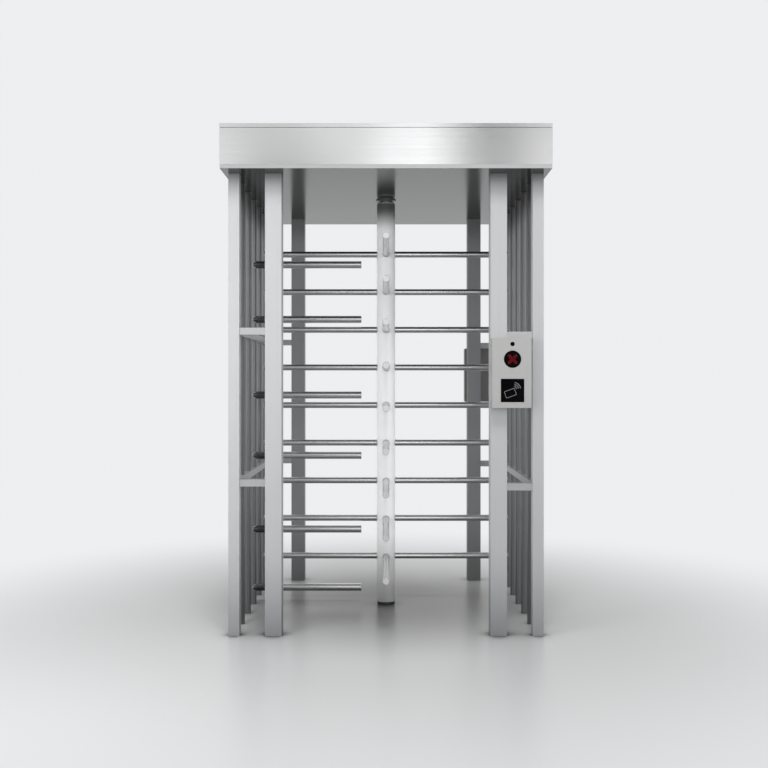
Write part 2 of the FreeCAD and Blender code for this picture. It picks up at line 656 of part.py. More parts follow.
def holes_at(places):
    return [(x, y, BOLT_HOLE) for x, y in places]


def make_head_frame():
    cross = new_body("head_cross_beams")
    sections = [channel(sign + INNER_Y, TRAY_TOP) for sign in ("-", "")]
    length = f"2 * ({OUTER_X} + outer_post / 2 + cross_beam_overhang)"
    pad(cross, "YZ_Plane", sections, length, "0", "Symmetric")
    cut(cross, "XY_Plane", holes_at(POST_BOLTS))
    long = new_body("head_long_beams")
    sections = [channel(sign + OUTER_X, TRAY_TOP) for sign in ("-", "")]
    sections += [channel(sign + "mechanism_beam", TRAY_TOP, "down") for sign in ("-", "")]
    pad(long, "XZ_Plane", sections, f"2 * {INNER_Y} - beam_width", "0", "Symmetric")
    cut(long, "XY_Plane", holes_at(PLATE_BOLTS))


def make_frame_bolts():
    """Bolts down into the post heads, and bolts with nuts through the mechanism plate."""
    bolts = new_body("frame_bolts")
    rows = (
        (POST_BOLTS, f"{TRAY_TOP} + beam_wall", f"{CEILING} - post_head", None),
        (PLATE_BOLTS, PLATE_TOP, f"{BEAM_TOP} - beam_wall", "nut"),
        (HOUSING_BOLTS, f"{PLATE_TOP} + housing_flange", BEAM_TOP, "nut"),
    )
    for places, seat, end, nut in rows:
        heads = [hexagon(x, y) for x, y in places]
        pad(bolts, "XY_Plane", heads, "bolt_head_height", seat)
        shanks = [(x, y, "bolt / 2") for x, y in places]
        pad(bolts, "XY_Plane", shanks, f"{seat} - ({end})", end)
        if nut:
            pad(bolts, "XY_Plane", heads, "bolt_nut", f"{end} - bolt_nut")


def hexagon(x, y):
    reach = "(bolt_head / sqrt(3))"
    corners = ((1, 0), (0.5, 0.5), (-0.5, 0.5), (-1, 0), (-0.5, -0.5), (0.5, -0.5))
    return [(f"{x} + {a} * {reach}", f"{y} + {b} * bolt_head") for a, b in corners]


# Canopy
SHAFT_HOLE = f"({SHAFT} + shaft_shoulder + shaft_hole_gap)"
LID_MIDDLE = "-hinge_ledge / 2"


def ring(x, y, width, depth, thickness):
    """Two rectangles, one inside the other by a thickness."""
    return [rectangle(x, y, width, depth),
            rectangle(x, y, f"{width} - 2 * ({thickness})", f"{depth} - 2 * ({thickness})")]


def make_ceiling():
    extent = ("canopy_width - 2 * tray_inset", "canopy_depth - 2 * tray_inset")
    tray = new_body("ceiling_tray")
    pad(tray, "XY_Plane", [rectangle("0", "0", *extent)], "sheet", CEILING)
    pad(tray, "XY_Plane", ring("0", "0", *extent, "sheet"), "tray_rim", CEILING)
    cut(tray, "XY_Plane", [("0", "0", SHAFT_HOLE)] + holes_at(POST_BOLTS))
    collar = new_body("ceiling_collar", z=f"{CEILING} - collar_height")
    circles = [("0", "0", f"{SHAFT_HOLE} + collar_width"), ("0", "0", SHAFT_HOLE)]
    pad(collar, "XY_Plane", circles, "collar_height")


def make_fascias():
    """Four folded panels; the side panels stand between the front and back ones."""
    long, short = ("canopy_width", "canopy_depth"), ("canopy_depth - 2 * sheet", "canopy_width")
    panels = (("front", "0", *long), ("right", "90", *short), ("back", "180", *long), ("left", "270", *short))
    for name, turn, length, across in panels:
        panel = new_body(f"fascia_{name}", turn=turn)
        face, fold, foot = (f"{width} - {across} / 2" for width in ("0", "fascia_flange", "fascia_foot"))
        section = [
            (face, FASCIA_BOTTOM),
            (foot, FASCIA_BOTTOM),
            (foot, f"{FASCIA_BOTTOM} + sheet"),
            (f"{face} + sheet", f"{FASCIA_BOTTOM} + sheet"),
            (f"{face} + sheet", f"{FASCIA_TOP} - sheet"),
            (fold, f"{FASCIA_TOP} - sheet"),
            (fold, FASCIA_TOP),
            (face, FASCIA_TOP),
        ]
        pad(panel, "YZ_Plane", [section], length, "0", "Symmetric")
        width, middle = "fascia_flange - sheet", f"{face} + (fascia_flange + sheet) / 2"
        if across == "canopy_width":
            end, reach = "(canopy_depth - sheet - fascia_flange) / 2", width
        else:
            end, reach = "(canopy_width - sheet) / 2", "sheet"
        cut(panel, "XY_Plane", [rectangle(sign + end, middle, reach, width) for sign in ("-", "")])


def make_lid():
    extent = ("canopy_width", "canopy_depth - hinge_ledge")
    lid = new_body("lid")
    pad(lid, "XY_Plane", [rectangle("0", LID_MIDDLE, *extent)], "sheet", "total_height - sheet")
    pad(lid, "XY_Plane", ring("0", LID_MIDDLE, *extent, "sheet"), "lid_rim", LID_BOTTOM)
    pad(lid, "XY_Plane", ring("0", LID_MIDDLE, *extent, "sheet + lid_flange"), "sheet", LID_BOTTOM)
    rib_length = "canopy_width - 2 * sheet - 2 * lid_flange"
    for sign in ("-", ""):
        left, right = f"{sign}lid_rib_place - lid_rib_width / 2", f"{sign}lid_rib_place + lid_rib_width / 2"
        high, low = "total_height - sheet", "total_height - sheet - lid_rib_depth"
        rib = [(left, low), (right, low), (right, high), (f"{right} - sheet", high),
               (f"{right} - sheet", f"{low} + sheet"), (f"{left} + sheet", f"{low} + sheet"),
               (f"{left} + sheet", high), (left, high)]
        pad(lid, "YZ_Plane", [rib], rib_length, "0", "Symmetric")
    dish = "lock_head / 2 + rest_gap"
    pad(lid, "XY_Plane", [("0", LOCK_Y, f"{dish} + sheet")], "lock_head_height",
        "total_height - lock_head_height - sheet")
    cut(lid, "XY_Plane", [("0", LOCK_Y, dish)], "lock_head_height", "total_height", reverse=True)
    cut(lid, "XY_Plane", [("0", LOCK_Y, "lock_barrel / 2 + weld_gap")])
    seal = new_body("lid_seal", z=FASCIA_TOP)
    edges = [f"{side} - 2 * seal_inset" for side in extent]
    pad(seal, "XY_Plane", ring("0", LID_MIDDLE, *edges, "seal_width"), "seal_height")


LOCK_Y = "(lock_from_front - canopy_depth / 2)"


def make_lid_lock():
    """Lock cylinder, flush in the lid's dish, with a cam that turns under the front fascia's folded edge."""
    cam_top = f"({FASCIA_TOP} - sheet - rest_gap)"
    lock = new_body("lid_lock", y=LOCK_Y)
    pad(lock, "XY_Plane", [("0", "0", "lock_barrel / 2")], f"total_height - {cam_top}", cam_top)
    head = "(lock_head_height - running_gap)"
    pad(lock, "XY_Plane", [("0", "0", "lock_head / 2")], head, f"total_height - {head}")
    length = "(lock_cam_length + lock_cam_width / 2)"
    cam = rectangle(f"{length} / 2 - lock_cam_width / 2", "0", length, "lock_cam_width")
    pad(lock, "XY_Plane", [cam], "lock_cam_thickness", f"{cam_top} - lock_cam_thickness")
    keyway = rectangle("0", "0", "keyway_length", "keyway_width")
    cut(lock, "XY_Plane", [keyway], "lock_head_height * 3", "total_height", reverse=True)


HINGE_Y = "(canopy_depth / 2 - hinge_ledge / 2)"
HINGE_Z = f"({FASCIA_TOP} + hinge_barrel / 2 + rest_gap)"
KNUCKLE = "(hinge_length * 0.3)"


def make_lid_hinges():
    """Frame leaves carry the pins; the lid's leaves turn on them."""
    start = "-hinge_spacing * (hinge_count - 1) / 2"
    fixed = new_body("frame_hinge_leaves", start, HINGE_Y)
    barrel = ("0", HINGE_Z, "hinge_barrel / 2")
    tab = rectangle("0", f"({FASCIA_TOP} + {HINGE_Z}) / 2", "hinge_barrel", f"{HINGE_Z} - {FASCIA_TOP}")
    features = [pad(fixed, "YZ_Plane", [("0", HINGE_Z, "hinge_pin / 2")], "hinge_length", "0", "Symmetric")]
    for near in ("-hinge_length / 2", f"hinge_length / 2 - {KNUCKLE}"):
        features.append(pad(fixed, "YZ_Plane", [barrel], KNUCKLE, near))
        features.append(pad(fixed, "YZ_Plane", [tab], KNUCKLE, near))
    repeat(fixed, features, "X_Axis", "hinge_spacing", "hinge_count")
    moving = new_body("lid_hinge_leaves", start, HINGE_Y)
    middle = f"hinge_length - 2 * {KNUCKLE} - 2 * rest_gap"
    leaf_y, leaf_z = "(hinge_leaf - hinge_ledge) / 2", "(total_height - sheet - lid_rim / 2)"
    leaf = rectangle(leaf_y, leaf_z, "hinge_leaf", "lid_rim - 2 * sheet")
    web = rectangle("-hinge_ledge / 4", HINGE_Z, "hinge_ledge / 2", "hinge_leaf")
    features = [pad(moving, "YZ_Plane", [loop], middle, "0", "Symmetric") for loop in (barrel, leaf, web)]
    bore = ("0", HINGE_Z, "hinge_pin / 2 + running_gap")
    features.append(cut(moving, "YZ_Plane", [bore]))
    repeat(moving, features, "X_Axis", "hinge_spacing", "hinge_count")


# Mechanism
PAWL_X = "((pawl_line + pawl_reach) * sqrt(0.5))"
PAWL_Y = "((pawl_line - pawl_reach) * sqrt(0.5))"
TAIL_Y = f"({PAWL_Y} - pawl_tail)"
TAIL_X = f"({PAWL_X} - pawl_tail * tan(pawl_swing / 2 * 1 deg))"
SPRING_POST_X = "(crank_throw + spring_reach)"
CRANK_TOP = f"({GEAR_TOP} + crank_disc_lift + crank_disc_thickness)"


STUDS = (
    ("0", CRANK_Y, "(stud / 2 + stud_shoulder)", f"{GEAR_BOTTOM} - rest_gap", ("stud / 2", CRANK_TOP)),
    (PAWL_X, PAWL_Y, "(pawl_pin / 2 + stud_shoulder)", f"{DISC_BOTTOM} - rest_gap",
     ("pawl_pin / 2", f"{DISC_TOP} + stud_shoulder")),
    ("-" + PAWL_X, PAWL_Y, "(pawl_pin / 2 + stud_shoulder)", f"{DISC_BOTTOM} - rest_gap",
     ("pawl_pin / 2", f"{DISC_TOP} + stud_shoulder")),
    (SPRING_POST_X, CRANK_Y, "(crank_pin / 2 + stud_shoulder)", f"{CRANK_TOP} + stud_shoulder",
     ("crank_pin / 2", f"{CRANK_TOP} + crank_pin_length")),
)


def make_mechanism_plate():
    plate = new_body("mechanism_plate", z=BEAM_TOP)
    pad(plate, "XY_Plane", [rectangle("0", "0", "plate_length", "plate_width")], "plate_thickness")
    stud_holes = [(x, y, f"{radius} + weld_gap") for x, y, radius, shoulder, top in STUDS]
    boss = ("0", "0", "bearing_diameter / 2 + housing_wall + weld_gap")
    cut(plate, "XY_Plane", [boss] + stud_holes + holes_at(PLATE_BOLTS) + holes_at(HOUSING_BOLTS))


def make_studs():
    """Fixed studs in the mechanism plate: the crank's, the pawls' and the spring's."""
    studs = new_body("mechanism_studs")
    for x, y, shoulder, seat, (radius, top) in STUDS:
        pad(studs, "XY_Plane", [(x, y, shoulder)], f"{seat} - {BEAM_TOP}", BEAM_TOP)
        pad(studs, "XY_Plane", [(x, y, radius)], f"{top} - ({seat})", seat)


def make_lock_disc():
    """Disc with a notch for each wing, on a hub round the drive shaft."""
    disc = new_body("lock_disc", z=DISC_BOTTOM, turn="45")
    bore = ("0", "0", SHAFT)
    pad(disc, "XY_Plane", [("0", "0", "disc_diameter / 2"), bore], "disc_thickness")
    pad(disc, "XY_Plane", [("0", "0", f"{SHAFT} + hub_wall"), bore], "disc_hub", "-disc_hub")
    notch = rectangle("disc_diameter / 2", "0", "2 * notch_depth", "notch_width")
    repeat_around(disc, [cut(disc, "XY_Plane", [notch])], "4")


def size(alias):
    return float(sheet.get(alias))


def involute_point(base_radius, radius):
    """Angle along the involute from its start on the base circle, out to a radius."""
    roll = math.sqrt(max((radius / base_radius) ** 2 - 1, 0))
    return roll - math.atan(roll)


def gear_blank(teeth, turn):
    """A spur gear with 20 degree involute flanks and a tooth centred at an angle."""
    module = size("gear_module")
    pitch = module * teeth / 2
    base = pitch * math.cos(math.radians(20))
    root, tip = pitch - 1.25 * module, pitch + 0.95 * module
    half = math.pi / (2 * teeth) - size("backlash") / (4 * pitch) + involute_point(base, pitch)
    radii = [max(root, 0.999 * base), pitch, (pitch + tip) / 2, tip]
    flank = [(radius, half - involute_point(base, max(radius, base))) for radius in radii]
    tooth = [(root, flank[0][1])] + flank
    tooth = [(radius, -angle) for radius, angle in tooth] + tooth[::-1]
    corners = []
    for number in range(teeth):
        middle = turn + 2 * math.pi * number / teeth
        for radius, angle in tooth:
            corner = FreeCAD.Vector(radius * math.cos(middle + angle), radius * math.sin(middle + angle), 0)
            if not corners or corner.distanceToPoint(corners[-1]) > 1e-6:
                corners.append(corner)
    face = Part.Face(Part.makePolygon(corners + corners[:1]))
    return face.extrude(FreeCAD.Vector(0, 0, size("gear_width")))


def cylinder(radius, height, x=0, y=0, z=0):
    return Part.makeCylinder(radius, height, FreeCAD.Vector(x, y, z))


def make_gears():
    """The main gear, the centring crank that turns once for each wing, and the damper's pinion."""
    width, teeth = size("gear_width"), int(size("gear_teeth"))
    shaft, stud_bore = size("shaft_diameter") / 2, size("stud") / 2 + size("running_gap")
    quarter = math.pi / 2
    main = gear_blank(teeth, quarter)
    main = main.fuse(cylinder(shaft + size("hub_wall"), size("gear_lift"), z=-size("gear_lift")))
    main = main.cut(cylinder(shaft, width + size("gear_lift"), z=-size("gear_lift")))
    solid("main_gear", main, z=GEAR_BOTTOM)
    gap_faces_main = quarter + math.pi / size("crank_teeth")
    crank = gear_blank(int(size("crank_teeth")), gap_faces_main)
    lift, thickness = size("crank_disc_lift"), size("crank_disc_thickness")
    crank = crank.fuse(cylinder(stud_bore + size("hub_wall") / 2, lift, z=width))
    crank = crank.fuse(cylinder(size("crank_disc") / 2, thickness, z=width + lift))
    crank = crank.fuse(cylinder(size("crank_pin") / 2, size("crank_pin_length"), size("crank_throw"),
                                z=width + lift + thickness))
    crank = crank.cut(cylinder(stud_bore, width + lift + thickness))
    solid("centring_crank", crank, y=CRANK_Y, z=GEAR_BOTTOM)
    pinion = gear_blank(int(size("damper_teeth")), -quarter + math.pi / size("damper_teeth"))
    reach = value(f"{GEAR_BOTTOM} - {PLATE_TOP} - damper_height + damper_bore_depth")
    pinion = pinion.fuse(cylinder(size("damper_shaft") / 2, reach, z=-reach))
    solid("damper_pinion", pinion, y=DAMPER_Y, z=GEAR_BOTTOM)


def make_damper_body():
    damper = new_body("damper_body", y=DAMPER_Y, z=PLATE_TOP)
    pad(damper, "XY_Plane", [("0", "0", "damper_body / 2")], "damper_height")
    bore = ("0", "0", "damper_shaft / 2 + running_gap")
    cut(damper, "XY_Plane", [bore], "damper_bore_depth + rest_gap", "damper_height", reverse=True)


def arc_from(start, direction, end):
    """The arc that leaves start along a direction and ends at end."""
    chord = end - start
    along = direction.dot(chord) / chord.Length
    side = direction - chord * (along / chord.Length)
    bend = math.atan2(side.Length, along)
    middle = (start + end) * 0.5 + side.normalize() * (chord.Length / 2 * math.tan(bend / 2))
    return Part.Arc(start, middle, end).toShape()


def biarc(start, start_way, end, end_way):
    """Two arcs that join two points and leave and arrive along given directions."""
    gap, both = end - start, start_way + end_way
    spread = 2 * (1 - start_way.dot(end_way))
    reach = (-gap.dot(both) + math.sqrt(gap.dot(both) ** 2 + spread * gap.dot(gap))) / spread
    middle = (start + start_way * reach + end - end_way * reach) * 0.5
    second = arc_from(end, end_way * -1, middle)
    return [arc_from(start, start_way, middle), second]


def coil(radius, wire, turns, length):
    """A wire coil along X, as one unbroken tube."""
    steps = 4 * turns
    points, ways = [], []
    for step in range(steps + 1):
        angle = math.pi / 2 * step
        points.append(FreeCAD.Vector(length * step / steps, radius * math.cos(angle), radius * math.sin(angle)))
        climb = length / (2 * math.pi * turns)
        ways.append(FreeCAD.Vector(climb, -radius * math.sin(angle), radius * math.cos(angle)).normalize())
    edges = []
    for index in range(steps):
        edges += biarc(points[index], ways[index], points[index + 1], ways[index + 1])
    path = Part.Wire(Part.__sortEdges__(edges))
    section = Part.Wire(Part.Circle(points[0], ways[0], wire / 2).toShape())
    apart = [(points[i] - points[j]).Length for i in range(steps) for j in range(i + 3, min(i + 9, steps))]
    print(f"coil: least gap to itself {min(apart) - wire:.2f} mm")
    return path.makePipeShell([section], True, False)


def make_spring():
    """The centring spring, with an eye plugged into each end: one on the crank pin, one on its post."""
    wire, over = size("spring_wire"), size("spring_coil")
    start, reach = size("eye_reach"), size("spring_reach")
    length = reach - 2 * start
    pieces = [coil((over - wire) / 2, wire, int(size("spring_turns")), length)]
    pieces[0].translate(FreeCAD.Vector(start, 0, 0))
    pin = size("crank_pin") / 2 + size("race_gap")
    ring_radius = pin + size("eye_wall")
    height = 2 * size("eye_wall")
    plug = over / 2 - wire - size("race_gap")
    for place, side in ((0, 1), (reach, -1)):
        way = FreeCAD.Vector(side, 0, 0)
        centre = FreeCAD.Vector(place, 0, 0)
        eye = cylinder(ring_radius, height, place, z=-height / 2)
        stem = Part.makeCylinder(size("eye_wall"), start, centre, way)
        screw = Part.makeCylinder(plug, start, centre + way * start, way)
        pieces.append(eye.fuse(stem).fuse(screw).cut(cylinder(pin, height, place, z=-height / 2)))
    solid("centring_spring", Part.makeCompound(pieces), x="crank_throw", y=CRANK_Y,
          z=f"{CRANK_TOP} + crank_pin_length / 2")


def make_pawls():
    """A pawl for each direction: nose for the disc's notches, tail with a pin for the plunger."""
    lean = "((135 + pawl_swing / 2) * 1 deg)"
    tail = "(pawl_tail / cos(pawl_swing / 2 * 1 deg))"
    half = "(pawl_arm / 2)"
    tip = "(pawl_line - disc_diameter / 2 + notch_depth - pawl_nose_gap)"
    near, far = "(pawl_reach - pawl_nose / 2)", "(pawl_reach + pawl_nose / 2)"
    thick = "disc_thickness"
    for side, sign, turn in (("right", "", "135 - pawl_swing"), ("left", "-", "45 + pawl_swing")):
        pawl = new_body(f"pawl_{side}", ("" if side == "right" else "-") + PAWL_X, PAWL_Y, DISC_BOTTOM, turn)
        pad(pawl, "XY_Plane", [("0", "0", "pawl_hub / 2")], thick)
        pad(pawl, "XY_Plane", [rectangle(f"{far} / 2", "0", far, "pawl_arm")], thick)
        nose = [(near, "0"), (far, "0"), (far, f"{tip} - pawl_nose_ramp"), (f"{far} - pawl_nose_ramp", tip),
                (near, tip)]
        pad(pawl, "XY_Plane", [[(x, f"{sign}({y})") for x, y in nose]], thick)
        end = (f"{tail} * cos{lean}", f"{sign}1 * {tail} * sin{lean}")
        step = (f"0.8 * {half} * sin{lean}", f"{sign}1 * -0.8 * {half} * cos{lean}")
        strip = [step, (f"{end[0]} + {step[0]}", f"{end[1]} + {step[1]}"),
                 (f"{end[0]} - {step[0]}", f"{end[1]} - {step[1]}"), (f"-1 * {step[0]}", f"-1 * {step[1]}")]
        pad(pawl, "XY_Plane", [strip], thick)
        pad(pawl, "XY_Plane", [(*end, f"0.8 * {half}")], thick)
        pad(pawl, "XY_Plane", [(*end, "tail_pin / 2")], f"{thick} + link_thickness + 2 * rest_gap")
        cut(pawl, "XY_Plane", [("0", "0", "pawl_pin / 2 + running_gap")])


def make_plungers():
    """Plunger rods with a slotted link plate over the pawl's tail pin."""
    axis = f"({DISC_BOTTOM} + disc_thickness / 2)"
    for side, sign, turn in (("right", "", "0"), ("left", "-", "180")):
        plunger = new_body(f"plunger_{side}", sign + TAIL_X, TAIL_Y, turn=turn)
        pad(plunger, "YZ_Plane", [("0", axis, "plunger / 2")],
            "solenoid_start + plunger_inside - plunger_start", "plunger_start")
        back, front = "(link_width / 2)", "(plunger_start + link_width / 2)"
        plate = rectangle(f"({front} - {back}) / 2", "0", f"{front} + {back}", "link_width")
        slot = rectangle("0", "0", "tail_pin + 2 * rest_gap", "tail_pin + 8 * rest_gap")
        pad(plunger, "XY_Plane", [plate, slot], "link_thickness", f"{DISC_TOP} + rest_gap")


def make_solenoids():
    axis = f"({DISC_BOTTOM} + disc_thickness / 2)"
    solenoids = new_body("solenoids", y=TAIL_Y)
    face = f"({TAIL_X} + solenoid_start)"
    blocks = [rectangle(f"{sign}({face} + solenoid_length / 2)", "0", "solenoid_length", "solenoid_width")
              for sign in ("-", "")]
    pad(solenoids, "XY_Plane", blocks, "solenoid_height", PLATE_TOP)
    bore = ("0", axis, "plunger / 2 + running_gap")
    depth = "plunger_inside + 2 * pawl_tail * tan(pawl_swing / 2 * 1 deg) + link_thickness"
    cut(solenoids, "YZ_Plane", [bore], depth, face)
    cut(solenoids, "YZ_Plane", [bore], depth, "-" + face, reverse=True)


def make_control_units():
    """Control box and power supply: pressed covers screwed down on the ceiling tray."""
    units = new_body("control_units", z=TRAY_TOP)
    boxes = (("-control_box_x", "control_box_length", "control_box_width", "control_box_height"),
             ("control_box_x", "power_supply_length", "power_supply_width", "power_supply_height"))
    for x, length, width, height in boxes:
        pad(units, "XY_Plane", [rectangle(x, "control_box_y", length, width)], height)
        inside = rectangle(x, "control_box_y", f"{length} - 2 * sheet", f"{width} - 2 * sheet")
        cut(units, "XY_Plane", [inside], f"{height} - sheet")


# Readers
READER_EDGE = f"({INNER_X} - inner_post / 2)"
READERS = (
    ("", f"({READER_EDGE} + reader_shift)"),
    ("-", f"({READER_EDGE} - back_reader_shift)"),
)
READER_MIDDLE = "(reader_bottom + reader_height / 2)"
READER_TOP = "(reader_bottom + reader_height)"
CASE_DEPTH = "(reader_depth - cover_thickness)"


def rounded(x, y, width, height, radius):
    """A rectangle with rounded corners."""
    left, right = f"({x} - {width} / 2)", f"({x} + {width} / 2)"
    low, high = f"({y} - {height} / 2)", f"({y} + {height} / 2)"
    near_left, near_right = f"({left} + {radius})", f"({right} - {radius})"
    near_low, near_high = f"({low} + {radius})", f"({high} - {radius})"
    return [
        (near_left, low), (near_right, low, near_right, near_low),
        (right, near_low), (right, near_high, near_right, near_high),
        (near_right, high), (near_left, high, near_left, near_high),
        (left, near_high), (left, near_low, near_left, near_low),
    ]


def outward_pad(owner, sign, loops, start, length):
    """A pad away from the post frame, starting at a distance in front of it or behind it."""
    feature = owner.newObject("PartDesign::Pad", owner.Name + "_pad")
    feature.Profile = new_sketch(owner, "XZ_Plane", loops, f"{sign}(frame_depth / 2 + {start})")
    feature.Reversed = sign == "-"
    bind(feature, {"Length": length})
    doc.recompute()
    return feature


def make_readers():
    cases, covers = new_body("reader_cases"), new_body("reader_covers")
    indicators, windows = new_body("indicator_lenses"), new_body("reader_windows")
    units = new_body("reader_units")
    for sign, edge in READERS:
        middle, eyes = f"({edge} + reader_width / 2)", f"({edge} + eye_column)"
        outline = rounded(middle, READER_MIDDLE, "reader_width", "reader_height", "reader_corner")
        inside = rounded(middle, READER_MIDDLE, "(reader_width - 2 * reader_wall)",
                         "(reader_height - 2 * reader_wall)", "(reader_corner - reader_wall)")
        outward_pad(cases, sign, [outline, inside], "reader_wall", f"{CASE_DEPTH} - reader_wall")
        outward_pad(cases, sign, [outline], "0", "reader_wall")
        lamp = (eyes, f"{READER_TOP} - indicator_drop", "indicator_diameter / 2")
        sensor = (eyes, f"{READER_TOP} - sensor_drop", "sensor_diameter / 2")
        pane = (eyes, f"{READER_TOP} - window_drop", "window_width", "window_height")
        outward_pad(covers, sign, [outline, lamp, sensor, rectangle(*pane)], CASE_DEPTH, "cover_thickness")
        through, behind = "cover_thickness + lens_proud", f"{CASE_DEPTH} - reader_wall"
        grown = (*pane[:2], "window_width + 2 * lens_flange", "window_height + 2 * lens_flange")
        shrunk = (*pane[:2], "window_width - 2 * lens_gap", "window_height - 2 * lens_gap")
        outward_pad(indicators, sign, [(*lamp[:2], f"{lamp[2]} - lens_gap")], CASE_DEPTH, through)
        outward_pad(indicators, sign, [(*lamp[:2], f"{lamp[2]} + lens_flange")], behind, "reader_wall")
        front_loops = [(*sensor[:2], f"{sensor[2]} - lens_gap"), rectangle(*shrunk)]
        back_loops = [(*sensor[:2], f"{sensor[2]} + lens_flange"), rectangle(*grown)]
        outward_pad(windows, sign, front_loops, CASE_DEPTH, through)
        outward_pad(windows, sign, back_loops, behind, "reader_wall")
        outward_pad(units, sign, [rectangle(*pane), lamp], f"{behind} - module_depth", "module_depth")


def make_all():
    make_posts()
    make_feet()
    make_side_bars()
    make_rails()
    make_comb()
    make_column()
    make_wings()
    make_floor_pivot()
    make_column_foot()
    make_drive_shaft()
    make_bearing()
    make_housing()
    make_head_frame()
    make_frame_bolts()
    make_ceiling()
    make_fascias()
    make_lid()
    make_lid_lock()
    make_lid_hinges()
    make_mechanism_plate()
    make_studs()
    make_lock_disc()
    make_gears()
    make_damper_body()
    make_spring()
    make_pawls()
    make_plungers()
    make_solenoids()
    make_control_units()
    make_readers()


HELPERS = ("_tube", "_blank", "_bore")


def check_and_write():
    """Stops if anything failed, then writes each sub-part to its own file."""
    doc.recompute()
    for item in doc.Objects:
        if "Invalid" in item.State or "Error" in item.State:
            raise ValueError(f"{item.Name} is {item.State}")
    parts = [item for item in doc.Objects if item.TypeId == "PartDesign::Body" or (
        item.TypeId in ("Part::Feature", "Part::Cut") and not item.Name.endswith(HELPERS))]
    os.makedirs("parts", exist_ok=True)
    for part in parts:
        if part.Shape.isNull() or not part.Shape.isValid():
            raise ValueError(f"{part.Label} has no valid shape")
    for part in parts:
        part.Shape.exportStep(f"parts/{part.Label}.step")
    print(len(parts), "sub-parts")


make_all()
check_and_write()
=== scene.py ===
import json
import math

import bpy
from mathutils import Matrix, Vector


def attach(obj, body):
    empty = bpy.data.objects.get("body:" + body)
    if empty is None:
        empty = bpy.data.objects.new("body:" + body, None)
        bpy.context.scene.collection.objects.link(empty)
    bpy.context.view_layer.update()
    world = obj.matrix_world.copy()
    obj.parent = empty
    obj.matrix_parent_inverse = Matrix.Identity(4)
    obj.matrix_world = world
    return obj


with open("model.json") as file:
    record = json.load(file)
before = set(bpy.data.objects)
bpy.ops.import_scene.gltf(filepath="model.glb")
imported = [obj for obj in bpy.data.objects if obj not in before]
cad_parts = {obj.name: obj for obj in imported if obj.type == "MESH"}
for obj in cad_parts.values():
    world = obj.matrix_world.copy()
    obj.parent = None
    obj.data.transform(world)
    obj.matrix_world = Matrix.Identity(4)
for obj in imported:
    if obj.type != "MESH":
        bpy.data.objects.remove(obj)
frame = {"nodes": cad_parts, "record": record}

nodes = frame["nodes"]
slot_of = {part["node"]: part["material_slot"] for part in frame["record"]["subparts"]}
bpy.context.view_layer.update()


# Recipes: node trees written as arithmetic on sockets

class Tone:
    """A value or colour in a recipe. Arithmetic on it adds Math nodes."""

    def __init__(self, recipe, socket):
        self.recipe = recipe
        self.socket = socket

    def __add__(self, other):
        return self.recipe.maths("ADD", self, other)

    def __radd__(self, other):
        return self.recipe.maths("ADD", other, self)

    def __sub__(self, other):
        return self.recipe.maths("SUBTRACT", self, other)

    def __rsub__(self, other):
        return self.recipe.maths("SUBTRACT", other, self)

    def __mul__(self, other):
        return self.recipe.maths("MULTIPLY", self, other)

    def __rmul__(self, other):
        return self.recipe.maths("MULTIPLY", other, self)


class Recipe:
    """The nodes of one material or world."""

    def __init__(self, owner):
        self.owner = owner
        self.owner.use_nodes = True
        self.tree = owner.node_tree
        self.tree.nodes.clear()

    def node(self, kind, settings=None, sockets=None, out=0):
        """Adds a node, sets its settings, then its sockets, and gives one output."""
        made = self.tree.nodes.new("ShaderNode" + kind)
        for name, value in (settings or {}).items():
            setattr(made, name, value)
        for key, value in (sockets or {}).items():
            if isinstance(value, Tone):
                self.tree.links.new(value.socket, made.inputs[key])
            else:
                made.inputs[key].default_value = value
        return Tone(self, made.outputs[out]) if made.outputs else None

    def maths(self, operation, *values):
        return self.node("Math", {"operation": operation}, dict(enumerate(values)))

    def clamped(self, value):
        """A value kept between 0 and 1."""
        return self.node("Math", {"operation": "ADD", "use_clamp": True}, {0: value, 1: 0.0})

    def place(self):
        """The place on the piece, in metres."""
        return self.node("TexCoord", out="Object")

    def axis(self, name):
        """The place along one axis."""
        return self.node("SeparateXYZ", sockets={0: self.place()}, out="xyz".index(name))

    def length(self, vector):
        return self.node("VectorMath", {"operation": "LENGTH"}, {0: vector}, out="Value")

    def ray(self, kind):
        """1 for rays of one kind, else 0."""
        return self.node("LightPath", out=f"Is {kind} Ray")

    def noise(self, scale, detail):
        """Noise between about 0.3 and 0.7, stretched by its scale along each axis."""
        stretched = self.node("VectorMath", {"operation": "MULTIPLY"}, {0: self.place(), 1: scale})
        return self.node("TexNoise", sockets={"Vector": stretched, "Scale": 1.0, "Detail": detail})

    def blend(self, factor, first, second):
        """A colour between two."""
        return self.node("Mix", {"data_type": "RGBA"}, {0: factor, 6: first, 7: second}, out=2)

    def slope(self, value, start, end, first=0.0, last=1.0):
        """A smooth change from one value to another."""
        sockets = {"Value": value, "From Min": start, "From Max": end}
        sockets.update({"To Min": first, "To Max": last})
        return self.node("MapRange", {"interpolation_type": "SMOOTHSTEP"}, sockets)

    def tinted(self, colour, amount):
        """A colour times a value."""
        return self.node("VectorMath", {"operation": "SCALE"}, {0: colour, "Scale": amount})

    def bump(self, height, strength, distance):
        sockets = {"Strength": strength, "Distance": distance, "Height": height}
        return self.node("Bump", sockets=sockets)

    def surface(self, sockets):
        """Ends the recipe in a Principled shader and gives the material."""
        shader = self.node("BsdfPrincipled", sockets=sockets)
        self.node("OutputMaterial", sockets={"Surface": shader})
        return self.owner


def new_recipe(name):
    """The recipe of a new material."""
    return Recipe(bpy.data.materials.new(name))


def spread(noise, amount):
    """A factor round 1 that varies with a noise."""
    return 1.0 + (noise - 0.5) * (amount * 2.0)


# Finishes

